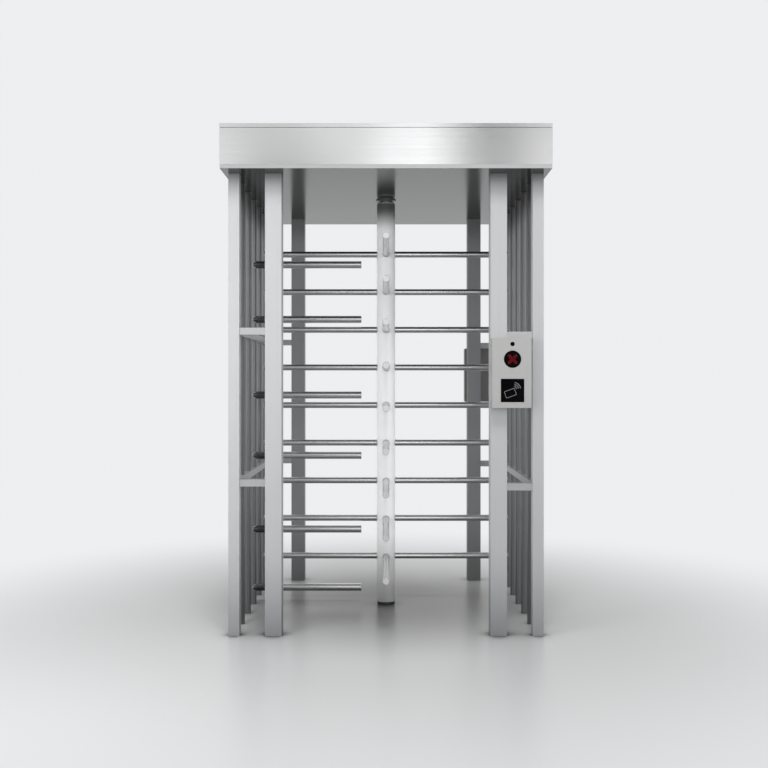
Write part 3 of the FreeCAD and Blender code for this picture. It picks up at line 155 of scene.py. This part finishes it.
CEILING = 2.100
ARM_TIP = 0.636
GRAIN = (2.5, 900.0)
BAND = (0.8, 90.0)
CLOUD = (7.0, 7.0, 7.0)
SKIN_CLOUD = (12.0, 12.0, 12.0)
CLOUD_TONE = 0.03
CLOUD_MATT = 0.15
GRAIN_DEPTH = 0.00003
GRAIN_STRENGTH = 0.35
SKIN_DEPTH = 0.0002
SKIN_STRENGTH = 0.3
QUARTER_TURN = 0.25
# Heights over which the painted shade towards the floor fades out
FLOOR_SHADE_FADE = (-0.05, 0.45)
SHADE_FADE = (CEILING - 0.17, CEILING - 0.04)
CAP_FADE = (ARM_TIP - 0.0012, ARM_TIP - 0.0004)
CAP_METALLIC = 0.2
TRAY_FADE = (CEILING + 0.0002, CEILING + 0.0010)
TRAY_POLISH = 0.17
TRAY_GRINDING = 0.21

POST = (0.47, 0.478, 0.487)
# The back posts' colour: the post steel darkened as painted shade
SHADED_BACK_POST = (0.28, 0.284, 0.289)
# The side bars' colour: bar steel darkened as painted shade
SHADED_SIDE_BAR = (0.27, 0.275, 0.28)
BAR = (0.76, 0.765, 0.77)
# The forward arms' colour: bar steel darkened as painted shade on their bodies
SHADED_FORWARD_BAR = (0.58, 0.584, 0.588)
CAP = (0.47, 0.473, 0.476, 1.0)
COLUMN = (0.95, 0.955, 0.96)
# The collar's colour: steel darkened as painted shade where the column meets the ceiling
SHADED_COLLAR = (0.14, 0.14, 0.138)
CANOPY = (0.78, 0.785, 0.79)
# The tray's underside colour: steel darkened as painted shade
SHADED_TRAY_UNDER = (0.12, 0.12, 0.118, 1.0)
TRAY_ABOVE = (0.68, 0.685, 0.69, 1.0)
READER = (0.43, 0.43, 0.425)
WELD = (0.58, 0.575, 0.56)
LAMP_RED = (0.12, 0.004, 0.007)
SIGN_GREY = (0.16, 0.16, 0.165)

# How strongly painted shade darkens each row of posts towards the floor
POST_FLOOR_SHADE = {"inner": 0.45, "outer": 0.36}
# Painted shade along one axis: front post heads under the canopy, comb bar roots between the
# posts, the back reader case
POST_HEAD_SHADE = ("z", 2.105, 2.0, 0.42)
COMB_ROOT_SHADE = ("x", -0.60, -0.53, 0.2)
READER_BACK_SHADE = ("y", 0.3, -0.3, 0.55)
TUBE = {"lines": 0.01, "bands": 0.01, "depth": 0.000005}
SHEET = {"bands": 0.05, "across": 0.5}

# Each slot's colour, roughness, fineness of its skin, metallic share and shine
PLAIN = {
    "blackened_steel": ((0.05, 0.05, 0.052), 0.45, 300.0, 0.6, 0.5),
    "seal_rubber": ((0.03, 0.03, 0.03), 0.7, 500.0, 0.0, 0.5),
    "galvanised_steel": ((0.50, 0.52, 0.53), 0.5, 60.0, 0.9, 0.5),
    "bronze": ((0.60, 0.40, 0.18), 0.35, 400.0, 1.0, 0.5),
    "spring_steel": ((0.30, 0.31, 0.33), 0.35, 500.0, 1.0, 0.5),
    "zinc_fasteners": ((0.62, 0.62, 0.58), 0.35, 400.0, 1.0, 0.5),
    "black_housings": ((0.04, 0.04, 0.045), 0.45, 700.0, 0.0, 0.5),
    "control_grey": ((0.52, 0.53, 0.52), 0.45, 700.0, 0.0, 0.5),
    "indicator_lens": ((0.002, 0.002, 0.0025), 0.15, 20.0, 0.0, 0.03),
    "window_black": ((0.002, 0.002, 0.0025), 0.12, 20.0, 0.0, 0.03),
    "machined_steel": ((0.50, 0.51, 0.53), 0.30, 500.0, 1.0, 0.5),
    "bearing_steel": ((0.72, 0.73, 0.75), 0.12, 300.0, 1.0, 0.5),
}


def lengthwise(axis, pattern):
    """A noise scale with the first value along one axis and the second across it."""
    along, across = pattern
    return tuple(along if name == axis else across for name in "xyz")


def make_steel(name, colour, grain, roughness, lines=0.04, bands=0.02, depth=GRAIN_DEPTH,
               metallic=1.0, across=0.0, floor_shade=0.0, shade=0.0, shade_span=None, capped=False,
               chalky=0.0):
    """Stainless steel, ground along one axis, with faint bands and cloudy handling marks.

    Across spreads the shine over the grain of a sheet that is ground sideways. One setting
    paints shade that darkens a piece towards the floor, and the shade setting paints shade
    under the ceiling. Another paints shade along an axis: it is the axis, two places on it and
    the share of the colour that is left at the first. A capped bar is ground dull and pale on
    its end cap. Chalky flattens the shading of a finely blasted surface.
    """
    mix = new_recipe(name)
    fine = mix.noise(lengthwise(grain, GRAIN), 3.0)
    broad = mix.noise(lengthwise(grain, BAND), 2.0)
    cloud = mix.noise(CLOUD, 4.0)
    tone = spread(fine, lines) * spread(broad, bands) * spread(cloud, CLOUD_TONE)
    # Painted shade: darker towards the floor
    if floor_shade:
        tone = tone * mix.slope(mix.axis("z"), *FLOOR_SHADE_FADE, 1.0 - floor_shade, 1.0)
    if shade:
        tone = tone * mix.slope(mix.axis("z"), *SHADE_FADE, 1.0, 1.0 - shade)
    # Painted shade along one axis, darkest at its first place
    if shade_span:
        axis, start, end, left = shade_span
        tone = tone * mix.slope(mix.axis(axis), start, end, left, 1.0)
    matt = roughness * spread(fine, lines * 4.0) * spread(cloud, CLOUD_MATT)
    paint = mix.tinted(colour, tone)
    if capped:
        cap = mix.slope(mix.maths("ABSOLUTE", mix.axis(grain)), *CAP_FADE)
        paint = mix.blend(cap, paint, CAP)
        metallic = metallic - cap * (metallic - CAP_METALLIC)
    return mix.surface({
        "Base Color": paint,
        "Metallic": metallic,
        "Roughness": mix.clamped(matt),
        "Anisotropic": across,
        "Anisotropic Rotation": QUARTER_TURN,
        "Diffuse Roughness": chalky,
        "Normal": mix.bump(fine, GRAIN_STRENGTH, depth),
    })


def make_post_steel(row, end):
    """The steel of a pair of posts, with painted shade: a darker colour at the back and darkening
    under the canopy.
    """
    name = f"{row}_{end}_post_steel"
    finish = {"metallic": 0.35, "floor_shade": POST_FLOOR_SHADE[row]}
    if end == "front":
        return make_steel(name, POST, "z", 0.45, shade_span=POST_HEAD_SHADE, **finish)
    return make_steel(name, SHADED_BACK_POST, "z", 0.45, shade=0.3, **finish)


def make_tray_steel():
    """The ceiling tray's sheet: polished, with painted shade making it dark underneath, ground
    pale on its rim and inside.
    """
    mix = new_recipe("tray_steel")
    fine = mix.noise(lengthwise("y", GRAIN), 3.0)
    cloud = mix.noise(CLOUD, 4.0)
    above = mix.slope(mix.axis("z"), *TRAY_FADE)
    paint = mix.blend(above, SHADED_TRAY_UNDER, TRAY_ABOVE)
    matt = (TRAY_POLISH + above * TRAY_GRINDING) * spread(cloud, CLOUD_MATT)
    return mix.surface({
        "Base Color": mix.tinted(paint, spread(fine, 0.04) * spread(cloud, 0.05)),
        "Metallic": 1.0,
        "Roughness": mix.clamped(matt),
        "Normal": mix.bump(fine, GRAIN_STRENGTH, GRAIN_DEPTH),
    })


def make_cast(name, colour, roughness, fineness, metallic, shine):
    """Painted, plated or moulded material with a fine skin."""
    mix = new_recipe(name)
    skin = mix.noise((fineness, fineness, fineness), 3.0)
    cloud = mix.noise(SKIN_CLOUD, 3.0)
    return mix.surface({
        "Base Color": mix.tinted(colour, spread(skin, 0.12) * spread(cloud, 0.08)),
        "Metallic": metallic,
        "Roughness": mix.clamped(roughness * spread(cloud, 0.2)),
        "Specular IOR Level": shine,
        "Normal": mix.bump(skin, SKIN_STRENGTH, SKIN_DEPTH),
    })


def dress(names, material):
    """Gives CAD nodes a material."""
    for name in names:
        mesh = nodes[name].data
        mesh.materials.clear()
        mesh.materials.append(material)


for end in ("front", "back"):
    for row in POST_FLOOR_SHADE:
        dress([f"{row}_post_{end}_{side}" for side in ("left", "right")],
              make_post_steel(row, end))
# The side bars' darker colour is painted shade, with more painted shade under the ceiling
dress(["side_bars_left", "side_bars_right"],
      make_steel("side_bar_steel", SHADED_SIDE_BAR, "z", 0.36, shade=0.55, **TUBE))
# The comb bars have painted shade at their roots
dress(["comb_bars"],
      make_steel("comb_steel", BAR, "x", 0.23, shade_span=COMB_ROOT_SHADE, **TUBE))
dress(["wing_left_arms", "wing_right_arms"],
      make_steel("cross_arm_steel", BAR, "x", 0.23, capped=True, **TUBE))
# The forward arms' darker colour is painted shade
dress(["wing_front_arms", "wing_back_arms"],
      make_steel("forward_arm_steel", SHADED_FORWARD_BAR, "y", 0.23, capped=True, **TUBE))
dress(["rails_left", "rails_right"],
      make_steel("rail_steel", POST, "y", 0.34, metallic=0.6))
# The column has painted shade towards the floor and under the ceiling
dress(["column", "drive_shaft"],
      make_steel("column_steel", COLUMN, "z", 0.38, metallic=0.04, floor_shade=0.7, shade=0.9,
                 chalky=1.0, **TUBE))
dress(["fascia_front", "fascia_back", "lid"],
      make_steel("long_sheet_steel", CANOPY, "x", 0.24, **SHEET))
dress(["fascia_left", "fascia_right"],
      make_steel("cross_sheet_steel", CANOPY, "y", 0.24, **SHEET))
dress(["ceiling_tray"], make_tray_steel())
# The collar's dark colour is painted shade
dress(["ceiling_collar"], make_steel("collar_steel", SHADED_COLLAR, "z", 0.3, **TUBE))
# The reader steel has painted shade that darkens the back case
dress(["reader_cases", "reader_covers"],
      make_steel("reader_steel", READER, "z", 0.38, metallic=0.5, shade_span=READER_BACK_SHADE))

skins = {slot: make_cast(slot + "_skin", *look) for slot, look in PLAIN.items()}
for slot, skin in skins.items():
    dress([name for name in nodes if slot_of[name] == slot], skin)


# Pieces: helpers

def alone(piece):
    """Selects one piece only."""
    bpy.ops.object.select_all(action="DESELECT")
    piece.select_set(True)
    bpy.context.view_layer.objects.active = piece


def settled(piece):
    """Puts a piece's place, turn and size into its mesh."""
    alone(piece)
    bpy.ops.object.transform_apply(location=True, rotation=True, scale=True)
    return piece


def twin(piece, move):
    """A copy with its own mesh, moved."""
    made = piece.copy()
    made.data = piece.data.copy()
    bpy.context.scene.collection.objects.link(made)
    made.data.transform(move)
    return made


def joined(pieces, name):
    """One piece out of several."""
    alone(pieces[0])
    for piece in pieces:
        piece.select_set(True)
    bpy.ops.object.join()
    whole = bpy.context.object
    whole.name = name
    return whole


def softened(piece, width):
    """Rounds a piece's edges."""
    soften = piece.modifiers.new("soften", "BEVEL")
    soften.width = width
    soften.segments = 2
    soften.limit_method = "ANGLE"
    alone(piece)
    bpy.ops.object.modifier_apply(modifier=soften.name)
    return piece


def thickened(piece, depth):
    """Gives a flat outline a thickness along Z."""
    alone(piece)
    bpy.ops.object.mode_set(mode="EDIT")
    bpy.ops.mesh.select_all(action="SELECT")
    bpy.ops.mesh.extrude_region_move(TRANSFORM_OT_translate={"value": (0.0, 0.0, depth)})
    bpy.ops.mesh.select_all(action="SELECT")
    bpy.ops.mesh.normals_make_consistent(inside=False)
    bpy.ops.object.mode_set(mode="OBJECT")
    return piece


def finished(piece, material, body, smooth=40.0):
    """Gives a piece its finish and the body it rides on."""
    alone(piece)
    bpy.ops.object.shade_smooth_by_angle(angle=math.radians(smooth))
    piece.data.materials.clear()
    piece.data.materials.append(material)
    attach(piece, body)


def shift(x=0.0, y=0.0, z=0.0):
    return Matrix.Translation((x, y, z))


def turned(degrees, axis):
    return Matrix.Rotation(math.radians(degrees), 4, axis)


def make_rod(sides, radius, height):
    """A rod that stands on the origin, along +Z."""
    bpy.ops.object.select_all(action="DESELECT")
    bpy.ops.mesh.primitive_cylinder_add(vertices=sides, radius=radius, depth=height,
                                        location=(0.0, 0.0, height / 2.0))
    return settled(bpy.context.object)


def open_top(piece):
    """Starts to edit a piece with its top face selected."""
    for face in piece.data.polygons:
        face.select = face.normal.z > 0.9
    bpy.ops.object.mode_set(mode="EDIT")
    bpy.ops.mesh.select_mode(type="FACE")


def sink(rim, depth):
    """Leaves a rim round the selected face, sinks the rest, and ends the editing."""
    bpy.ops.mesh.inset(thickness=rim)
    bpy.ops.mesh.extrude_region_move(TRANSFORM_OT_translate={"value": (0.0, 0.0, -depth)})
    bpy.ops.object.mode_set(mode="OBJECT")


# Pieces: weld beads

LOWEST_ARM = 0.250
ARM_PITCH = 0.196
ARM_ROWS = 9
COLUMN_RADIUS = 0.0475
SIDE_BAR_X = 0.691
SIDE_BAR_PITCH = 0.20067
SIDE_BAR_RADIUS = 0.016
COMB_HEIGHTS = (0.085, 0.388, 0.772, 1.086, 1.480, 1.765)
RAIL_HEIGHTS = {"left": (0.695, 1.385), "right": (0.677, 1.367)}
RAIL_BEAD_OFFSET = 0.0165
CEILING_BEAD_HEIGHT = 2.0985
ARM_BEAD = (0.0166, 0.0022)
COMB_BEAD = (0.0193, 0.0020)
SIDE_BEAD = (0.0166, 0.0018)


def make_bead(size, place, lean=0.0):
    """A weld bead: a ring of one radius and half thickness, leaning about Y."""
    radius, half = size
    bpy.ops.object.select_all(action="DESELECT")
    bpy.ops.mesh.primitive_torus_add(major_segments=32, minor_segments=8, major_radius=radius,
                                     minor_radius=half, location=place,
                                     rotation=(0.0, math.radians(lean), 0.0))
    return settled(bpy.context.object)


def wrap(bead, radius):
    """Lays a bead that stands on the X axis on a round tube along Z."""
    for vertex in bead.data.vertices:
        vertex.co.x += math.sqrt(max(radius ** 2 - vertex.co.y ** 2, 0.0))


def make_arm_welds(material):
    """A bead where each arm enters the column."""
    bead = make_bead(ARM_BEAD, (0.0, 0.0, LOWEST_ARM), 90.0)
    wrap(bead, COLUMN_RADIUS)
    others = [twin(bead, turned(90.0 * wing, "Z") @ shift(z=ARM_PITCH * row))
              for wing in range(4) for row in range(ARM_ROWS) if wing or row]
    finished(joined([bead] + others, "arm_welds"), material, "rotor")


def make_comb_welds(material):
    """A bead where each comb bar meets its side bar."""
    lowest = COMB_HEIGHTS[0]
    bead = make_bead(COMB_BEAD, (0.0, 0.0, lowest), 90.0)
    wrap(bead, SIDE_BAR_RADIUS)
    bead.data.transform(shift(x=-SIDE_BAR_X))
    others = [twin(bead, shift(z=height - lowest)) for height in COMB_HEIGHTS[1:]]
    finished(joined([bead] + others, "comb_welds"), material, "frame")


def make_side_welds(side, sign, material):
    """Beads where the side bars pass through the rails and meet the ceiling."""
    heights = [rail + end * RAIL_BEAD_OFFSET for rail in RAIL_HEIGHTS[side] for end in (-1, 1)]
    heights.append(CEILING_BEAD_HEIGHT)
    lowest = heights[0]
    bead = make_bead(SIDE_BEAD, (sign * SIDE_BAR_X, 0.0, lowest))
    others = [twin(bead, shift(y=row * SIDE_BAR_PITCH, z=height - lowest))
              for row in (-2, -1, 0, 1, 2) for height in heights if row or height != lowest]
    finished(joined([bead] + others, f"side_welds_{side}"), material, "frame")


# Pieces: the readers' cross, sign and screws

READERS = {"front": (0.566, -1.0), "back": (0.5545, 1.0)}
READER_FACE = 0.6896
INDICATOR_HEIGHT = 1.256
WINDOW_HEIGHT = 1.116
DOT_RADIUS = 0.0019
DOT_DEPTH = 0.0006
DOT_ROUNDING = 0.0003
DOT_SINK = 0.0001
DOT_PITCH = 0.0039
CROSS_REACH = 5
CROSS_WIDTH = 2
CARD_SIZE = (0.050, 0.033, 1.0)
CARD_CORNER = 0.005
CARD_LINE = 0.0026
CARD_TILT = 20.0
CARD_PLACE = (-0.010, -0.012, 0.0)
WAVE_RADII = (0.016, 0.025, 0.034)
WAVE_LINE = 0.0034
WAVE_PLACE = (0.004, 0.004, 0.0)
WAVE_CUTS = ((-1.0, 0.18, 0.0), (0.18, -1.0, 0.0))
SIGN_DEPTH = 0.0003
CASE_SIDES = (((0.475, 0.651), -0.660), ((0.4635, 0.6395), 0.660))
CASE_SCREW_HEIGHTS = (1.070, 1.320)
SCREW_RADIUS = 0.0042
SCREW_HEIGHT = 0.0016
SCREW_EDGE = (0.0004, 0.0003)
SCREW_RING = 0.0020
SCREW_SOCKET = 0.0012


def make_dot():
    """One lamp of the indicator: a flat lens with a rounded rim."""
    bpy.ops.object.select_all(action="DESELECT")
    bpy.ops.mesh.primitive_cylinder_add(vertices=12, radius=DOT_RADIUS, depth=DOT_DEPTH,
                                        location=(0.0, 0.0, 0.0),
                                        rotation=(math.radians(90.0), 0.0, 0.0))
    return softened(settled(bpy.context.object), DOT_ROUNDING)


def make_cross(end, material):
    """The red cross of small lamps on the indicator's lens."""
    x, sign = READERS[end]
    dot = make_dot()
    dot.data.transform(shift(x, sign * (READER_FACE - DOT_SINK), INDICATOR_HEIGHT))
    reach = range(-CROSS_REACH, CROSS_REACH + 1)
    cells = [(i, j) for i in reach for j in reach
             if abs(abs(i) - abs(j)) <= CROSS_WIDTH and (i or j)]
    others = [twin(dot, shift(x=i * DOT_PITCH, z=j * DOT_PITCH)) for i, j in cells]
    finished(joined([dot] + others, f"indicator_cross_{end}"), material, "frame")


def make_card():
    """The outline of a card with rounded corners, lying flat."""
    bpy.ops.object.select_all(action="DESELECT")
    bpy.ops.mesh.primitive_plane_add(size=1.0)
    card = bpy.context.object
    card.scale = CARD_SIZE
    settled(card)
    bpy.ops.object.mode_set(mode="EDIT")
    bpy.ops.mesh.select_all(action="SELECT")
    bpy.ops.mesh.bevel(offset=CARD_CORNER, segments=5, affect="VERTICES")
    bpy.ops.mesh.select_all(action="SELECT")
    bpy.ops.mesh.inset(thickness=CARD_LINE)
    bpy.ops.mesh.delete(type="FACE")
    bpy.ops.object.mode_set(mode="OBJECT")
    card.rotation_euler.z = math.radians(CARD_TILT)
    card.location = CARD_PLACE
    return settled(card)


def make_wave(radius):
    """One quarter arc of the sign's waves, lying flat."""
    bpy.ops.object.select_all(action="DESELECT")
    bpy.ops.mesh.primitive_circle_add(vertices=64, radius=radius, fill_type="NOTHING")
    wave = bpy.context.object
    inner = 1.0 - WAVE_LINE / radius
    bpy.ops.object.mode_set(mode="EDIT")
    bpy.ops.mesh.select_all(action="SELECT")
    bpy.ops.mesh.extrude_region_move()
    bpy.ops.transform.resize(value=(inner, inner, 1.0))
    for normal in WAVE_CUTS:
        bpy.ops.mesh.select_all(action="SELECT")
        bpy.ops.mesh.bisect(plane_co=(0.0, 0.0, 0.0), plane_no=normal, clear_outer=True)
    bpy.ops.object.mode_set(mode="OBJECT")
    wave.location = WAVE_PLACE
    return settled(wave)


def make_sign(end, material):
    """A plain sign for holding a card near: a card and three waves."""
    x, sign = READERS[end]
    shapes = [make_card()] + [make_wave(radius) for radius in WAVE_RADII]
    plate = thickened(joined(shapes, f"window_sign_{end}"), SIGN_DEPTH)
    plate.data.transform(turned(90.0 + 90.0 * sign, "Z") @ turned(90.0, "X"))
    plate.data.transform(shift(x, sign * READER_FACE, WINDOW_HEIGHT))
    finished(plate, material, "frame")


def make_screw():
    """A low round head with a sloped edge and a round socket, facing +Z."""
    width, rise = SCREW_EDGE
    screw = make_rod(24, SCREW_RADIUS, SCREW_HEIGHT)
    open_top(screw)
    bpy.ops.mesh.inset(thickness=width)
    bpy.ops.transform.translate(value=(0.0, 0.0, rise))
    sink(SCREW_RING, SCREW_SOCKET)
    return screw


def make_case_screws(material):
    """Two screws on each narrow side of each reader case."""
    screw = make_screw()
    screws = []
    for sides, depth in CASE_SIDES:
        for sign, x in zip((-1.0, 1.0), sides):
            screws += [twin(screw, shift(x, depth, height) @ turned(90.0 * sign, "Y"))
                       for height in CASE_SCREW_HEIGHTS]
    bpy.data.objects.remove(screw)
    finished(joined(screws, "case_screws"), material, "frame", 30.0)


# Pieces: the fittings of the control box and the power supply

UNITS = (
    {"x": (-0.510, -0.250), "y": (0.240, 0.420), "top": 2.172, "glands": 3},
    {"x": (0.280, 0.480), "y": (0.275, 0.385), "top": 2.152, "glands": 2},
)
COVER_MARGIN = 0.003
COVER_DEPTH = 0.002
SCREW_INSET = 0.014
GLAND_DROP = 0.028
SLEEVE_RADIUS = 0.0078
SLEEVE_LENGTH = 0.016
SLEEVE_WALL = 0.0018
PLUG_SINK = 0.003
NUT_RADIUS = 0.0115
NUT_DEPTH = 0.005
ROUNDING = 0.0006


def make_unit_covers(material):
    """A screwed cover on each unit."""
    covers = []
    for unit in UNITS:
        (left, right), (front, back) = unit["x"], unit["y"]
        middle = ((left + right) / 2.0, (front + back) / 2.0, unit["top"] + COVER_DEPTH / 2.0)
        size = (right - left - 2.0 * COVER_MARGIN, back - front - 2.0 * COVER_MARGIN, COVER_DEPTH)
        bpy.ops.object.select_all(action="DESELECT")
        bpy.ops.mesh.primitive_cube_add(size=1.0, location=middle, scale=size)
        covers.append(softened(settled(bpy.context.object), ROUNDING))
    finished(joined(covers, "unit_covers"), material, "frame")


def make_unit_screws(material):
    """A screw in each corner of the covers."""
    screw = make_screw()
    screws = []
    for unit in UNITS:
        (left, right), (front, back) = unit["x"], unit["y"]
        screws += [twin(screw, shift(x, y, unit["top"] + COVER_DEPTH))
                   for x in (left + SCREW_INSET, right - SCREW_INSET)
                   for y in (front + SCREW_INSET, back - SCREW_INSET)]
    bpy.data.objects.remove(screw)
    finished(joined(screws, "unit_screws"), material, "frame", 30.0)


def make_gland():
    """A plugged cable gland, facing +Z: a sleeve through a six-sided nut."""
    sleeve = make_rod(24, SLEEVE_RADIUS, SLEEVE_LENGTH)
    open_top(sleeve)
    sink(SLEEVE_WALL, PLUG_SINK)
    nut = softened(make_rod(6, NUT_RADIUS, NUT_DEPTH), ROUNDING)
    return joined([sleeve, nut], "gland")


def make_unit_glands(material):
    """A row of glands in the front wall of each unit."""
    gland = make_gland()
    glands = []
    for unit in UNITS:
        left, right = unit["x"]
        count = unit["glands"]
        height = unit["top"] - GLAND_DROP
        places = [left + (right - left) * (row + 1) / (count + 1) for row in range(count)]
        glands += [twin(gland, shift(x, unit["y"][0], height) @ turned(90.0, "X"))
                   for x in places]
    bpy.data.objects.remove(gland)
    finished(joined(glands, "unit_glands"), material, "frame", 30.0)


weld_steel = make_steel("weld_steel", WELD, "z", 0.42, shade=0.7)
make_arm_welds(weld_steel)
make_comb_welds(weld_steel)
make_side_welds("left", -1.0, weld_steel)
make_side_welds("right", 1.0, weld_steel)
lamp_red = make_cast("indicator_lamp_red", LAMP_RED, 0.5, 400.0, 0.0, 0.06)
sign_grey = make_cast("window_sign_grey", SIGN_GREY, 0.5, 300.0, 0.0, 0.06)
for end in READERS:
    make_cross(end, lamp_red)
    make_sign(end, sign_grey)
make_case_screws(skins["zinc_fasteners"])
make_unit_covers(skins["control_grey"])
make_unit_screws(skins["zinc_fasteners"])
make_unit_glands(skins["black_housings"])


# Studio

WHITE = (1.0, 1.0, 1.0, 1.0)
BACKDROP = (0.85, 0.86, 0.87, 1.0)
OPEN_AIR = 0.34
MIRRORED_ROOM = (-0.5, 0.6, 0.12, 0.70)
FLOOR_RADIUS = 30.0
FLOOR_ROUGHNESS = 0.28
FLOOR_MIDDLE = (0.0, 0.5, 0.0)
FLOOR_FADE = (0.7, 3.0)
# Painted shadow on the floor under the part
FLOOR_PAINTED_SHADOW = (0.17, 0.17, 0.172, 1.0)
FLOOR_ROUND = (0.49, 0.493, 0.497, 1.0)
FLOOR_WIDENING = (0.2, 1.1)
# Painted contact shadow where things stand on the floor
FLOOR_CONTACT_SHADOW = (0.05, 0.05, 0.052, 1.0)
CORNER_REACH = 0.12
CORNER_FADE = (0.5, 0.95)
MIRRORED_DULLING = 0.55
MIRRORED_FLOOR = (-2.0, 2.0, 0.30, 0.80)

# Each lamp's name, place, aim, size and power, and whether metal mirrors it
LAMPS = (
    ("tall_strip", (0.32, -6.0, 2.3), (0.32, 0.0, 2.3), (0.8, 3.8), 16.0, True),
    ("front_wall", (0.0, -6.0, 2.6), (0.0, 0.0, 2.6), (1.4, 5.0), 12.0, True),
    ("canopy_strip", (-0.9, -6.0, 4.0), (-0.9, 0.0, 2.6), (0.9, 1.2), 3.0, True),
    ("left_box", (-2.5, -5.5, 2.4), (0.0, 0.0, 2.0), (2.4, 3.6), 27.5, True),
    ("right_box", (2.45, -5.5, 2.4), (0.0, 0.0, 2.0), (2.4, 3.6), 27.5, True),
    ("high_box", (0.25, -3.2, 4.8), (0.1, -0.6, 1.0), (1.3, 1.0), 120.0, False),
    ("ceiling_box", (0.0, 0.0, 5.5), (0.0, 0.0, 0.0), (7.0, 7.0), 80.0, True),
    ("left_near_box", (-1.7, -2.1, 1.5), (-0.4, -0.6, 1.4), (1.2, 1.9), 29.0, False),
    ("right_near_box", (1.7, -2.1, 1.5), (0.4, -0.6, 1.4), (1.2, 1.9), 5.0, False),
    ("left_wing", (-4.4, -3.6, 1.5), (0.0, 0.0, 1.2), (5.0, 3.4), 38.0, True),
    ("right_wing", (4.4, -3.6, 1.5), (0.0, 0.0, 1.2), (5.0, 3.4), 34.0, True),
)

CAMERA_PLACE = (0.0, -4.834, 1.154)
FOCAL_LENGTH = 43.45
SENSOR_WIDTH = 36.0
PICTURE_SHIFT = -2.0 / 768.0


def make_world():
    """A pale sweep for the eye, and for the metal a sweep behind and a dim room in front."""
    world = bpy.data.worlds.new("studio")
    bpy.context.scene.world = world
    room = Recipe(world)
    toward = room.node("TexCoord", out="Generated")
    depth = room.node("SeparateXYZ", sockets={0: toward}, out=1)
    sides = room.slope(depth, *MIRRORED_ROOM)
    studio = room.node("Background", sockets={"Color": WHITE, "Strength": sides})
    open_air = room.node("Background", sockets={"Color": WHITE, "Strength": OPEN_AIR})
    pale = room.node("Background", sockets={"Color": BACKDROP})
    lit = room.node("MixShader", sockets={0: room.ray("Glossy"), 1: open_air, 2: studio})
    looked_at = room.clamped(room.ray("Camera") + room.ray("Transmission"))
    seen = room.node("MixShader", sockets={0: looked_at, 1: lit, 2: pale})
    room.node("OutputWorld", sockets={"Surface": seen})


def make_floor_paint():
    """Grey with a painted shadow under the part and a darker painted shadow where things stand on
    it, fading into the backdrop.
    """
    mix = new_recipe("studio_floor_paint")
    middle = mix.node("VectorMath", {"operation": "ADD"}, {0: mix.place(), 1: FLOOR_MIDDLE})
    fade = mix.slope(mix.length(middle), *FLOOR_FADE)
    # Painted shadow under the part, widening into the plain floor
    widening = mix.slope(mix.length(mix.place()), *FLOOR_WIDENING)
    paint = mix.blend(widening, FLOOR_PAINTED_SHADOW, FLOOR_ROUND)
    # Painted contact shadow near what stands on the floor
    corner = mix.node("AmbientOcclusion", {"samples": 8}, {"Distance": CORNER_REACH}, out="AO")
    shadowed = mix.blend(mix.slope(corner, *CORNER_FADE), FLOOR_CONTACT_SHADOW, paint)
    dulled = mix.tinted(shadowed, 1.0 - mix.ray("Glossy") * MIRRORED_DULLING)
    near = mix.node("BsdfPrincipled", sockets={
        "Base Color": dulled,
        "Roughness": FLOOR_ROUGHNESS,
    })
    depth = mix.slope(mix.axis("y"), *MIRRORED_FLOOR)
    shown = mix.maths("MAXIMUM", depth, mix.ray("Camera"))
    pale = mix.node("Emission", sockets={"Color": BACKDROP, "Strength": shown})
    both = mix.node("MixShader", sockets={0: fade, 1: near, 2: pale})
    mix.node("OutputMaterial", sockets={"Surface": both})
    return mix.owner


def make_floor():
    """The studio's floor, which isn't part of the object."""
    bpy.ops.object.select_all(action="DESELECT")
    bpy.ops.mesh.primitive_circle_add(vertices=96, radius=FLOOR_RADIUS, fill_type="NGON")
    floor = bpy.context.object
    floor.name = "studio_floor"
    floor.data.materials.append(make_floor_paint())


def make_lamp(name, place, aim, size, power, mirrored):
    """A rectangular lamp that the camera doesn't see."""
    lamp = bpy.data.lights.new(name, "AREA")
    lamp.shape = "RECTANGLE"
    lamp.size, lamp.size_y = size
    lamp.energy = power
    made = bpy.data.objects.new(name, lamp)
    bpy.context.scene.collection.objects.link(made)
    made.location = place
    made.visible_camera = False
    made.visible_glossy = mirrored
    made.rotation_euler = (Vector(aim) - Vector(place)).to_track_quat("-Z", "Y").to_euler()


def make_camera():
    """The camera, level and straight in front."""
    lens = bpy.data.cameras.new("photograph")
    lens.lens = FOCAL_LENGTH
    lens.sensor_width = SENSOR_WIDTH
    lens.shift_x = PICTURE_SHIFT
    lens.shift_y = PICTURE_SHIFT
    camera = bpy.data.objects.new("photograph", lens)
    bpy.context.scene.collection.objects.link(camera)
    camera.location = CAMERA_PLACE
    camera.rotation_euler = (math.radians(90.0), 0.0, 0.0)
    bpy.context.scene.camera = camera


make_world()
make_floor()
for lamp in LAMPS:
    make_lamp(*lamp)
make_camera()
bpy.context.scene.view_settings.view_transform = "Standard"
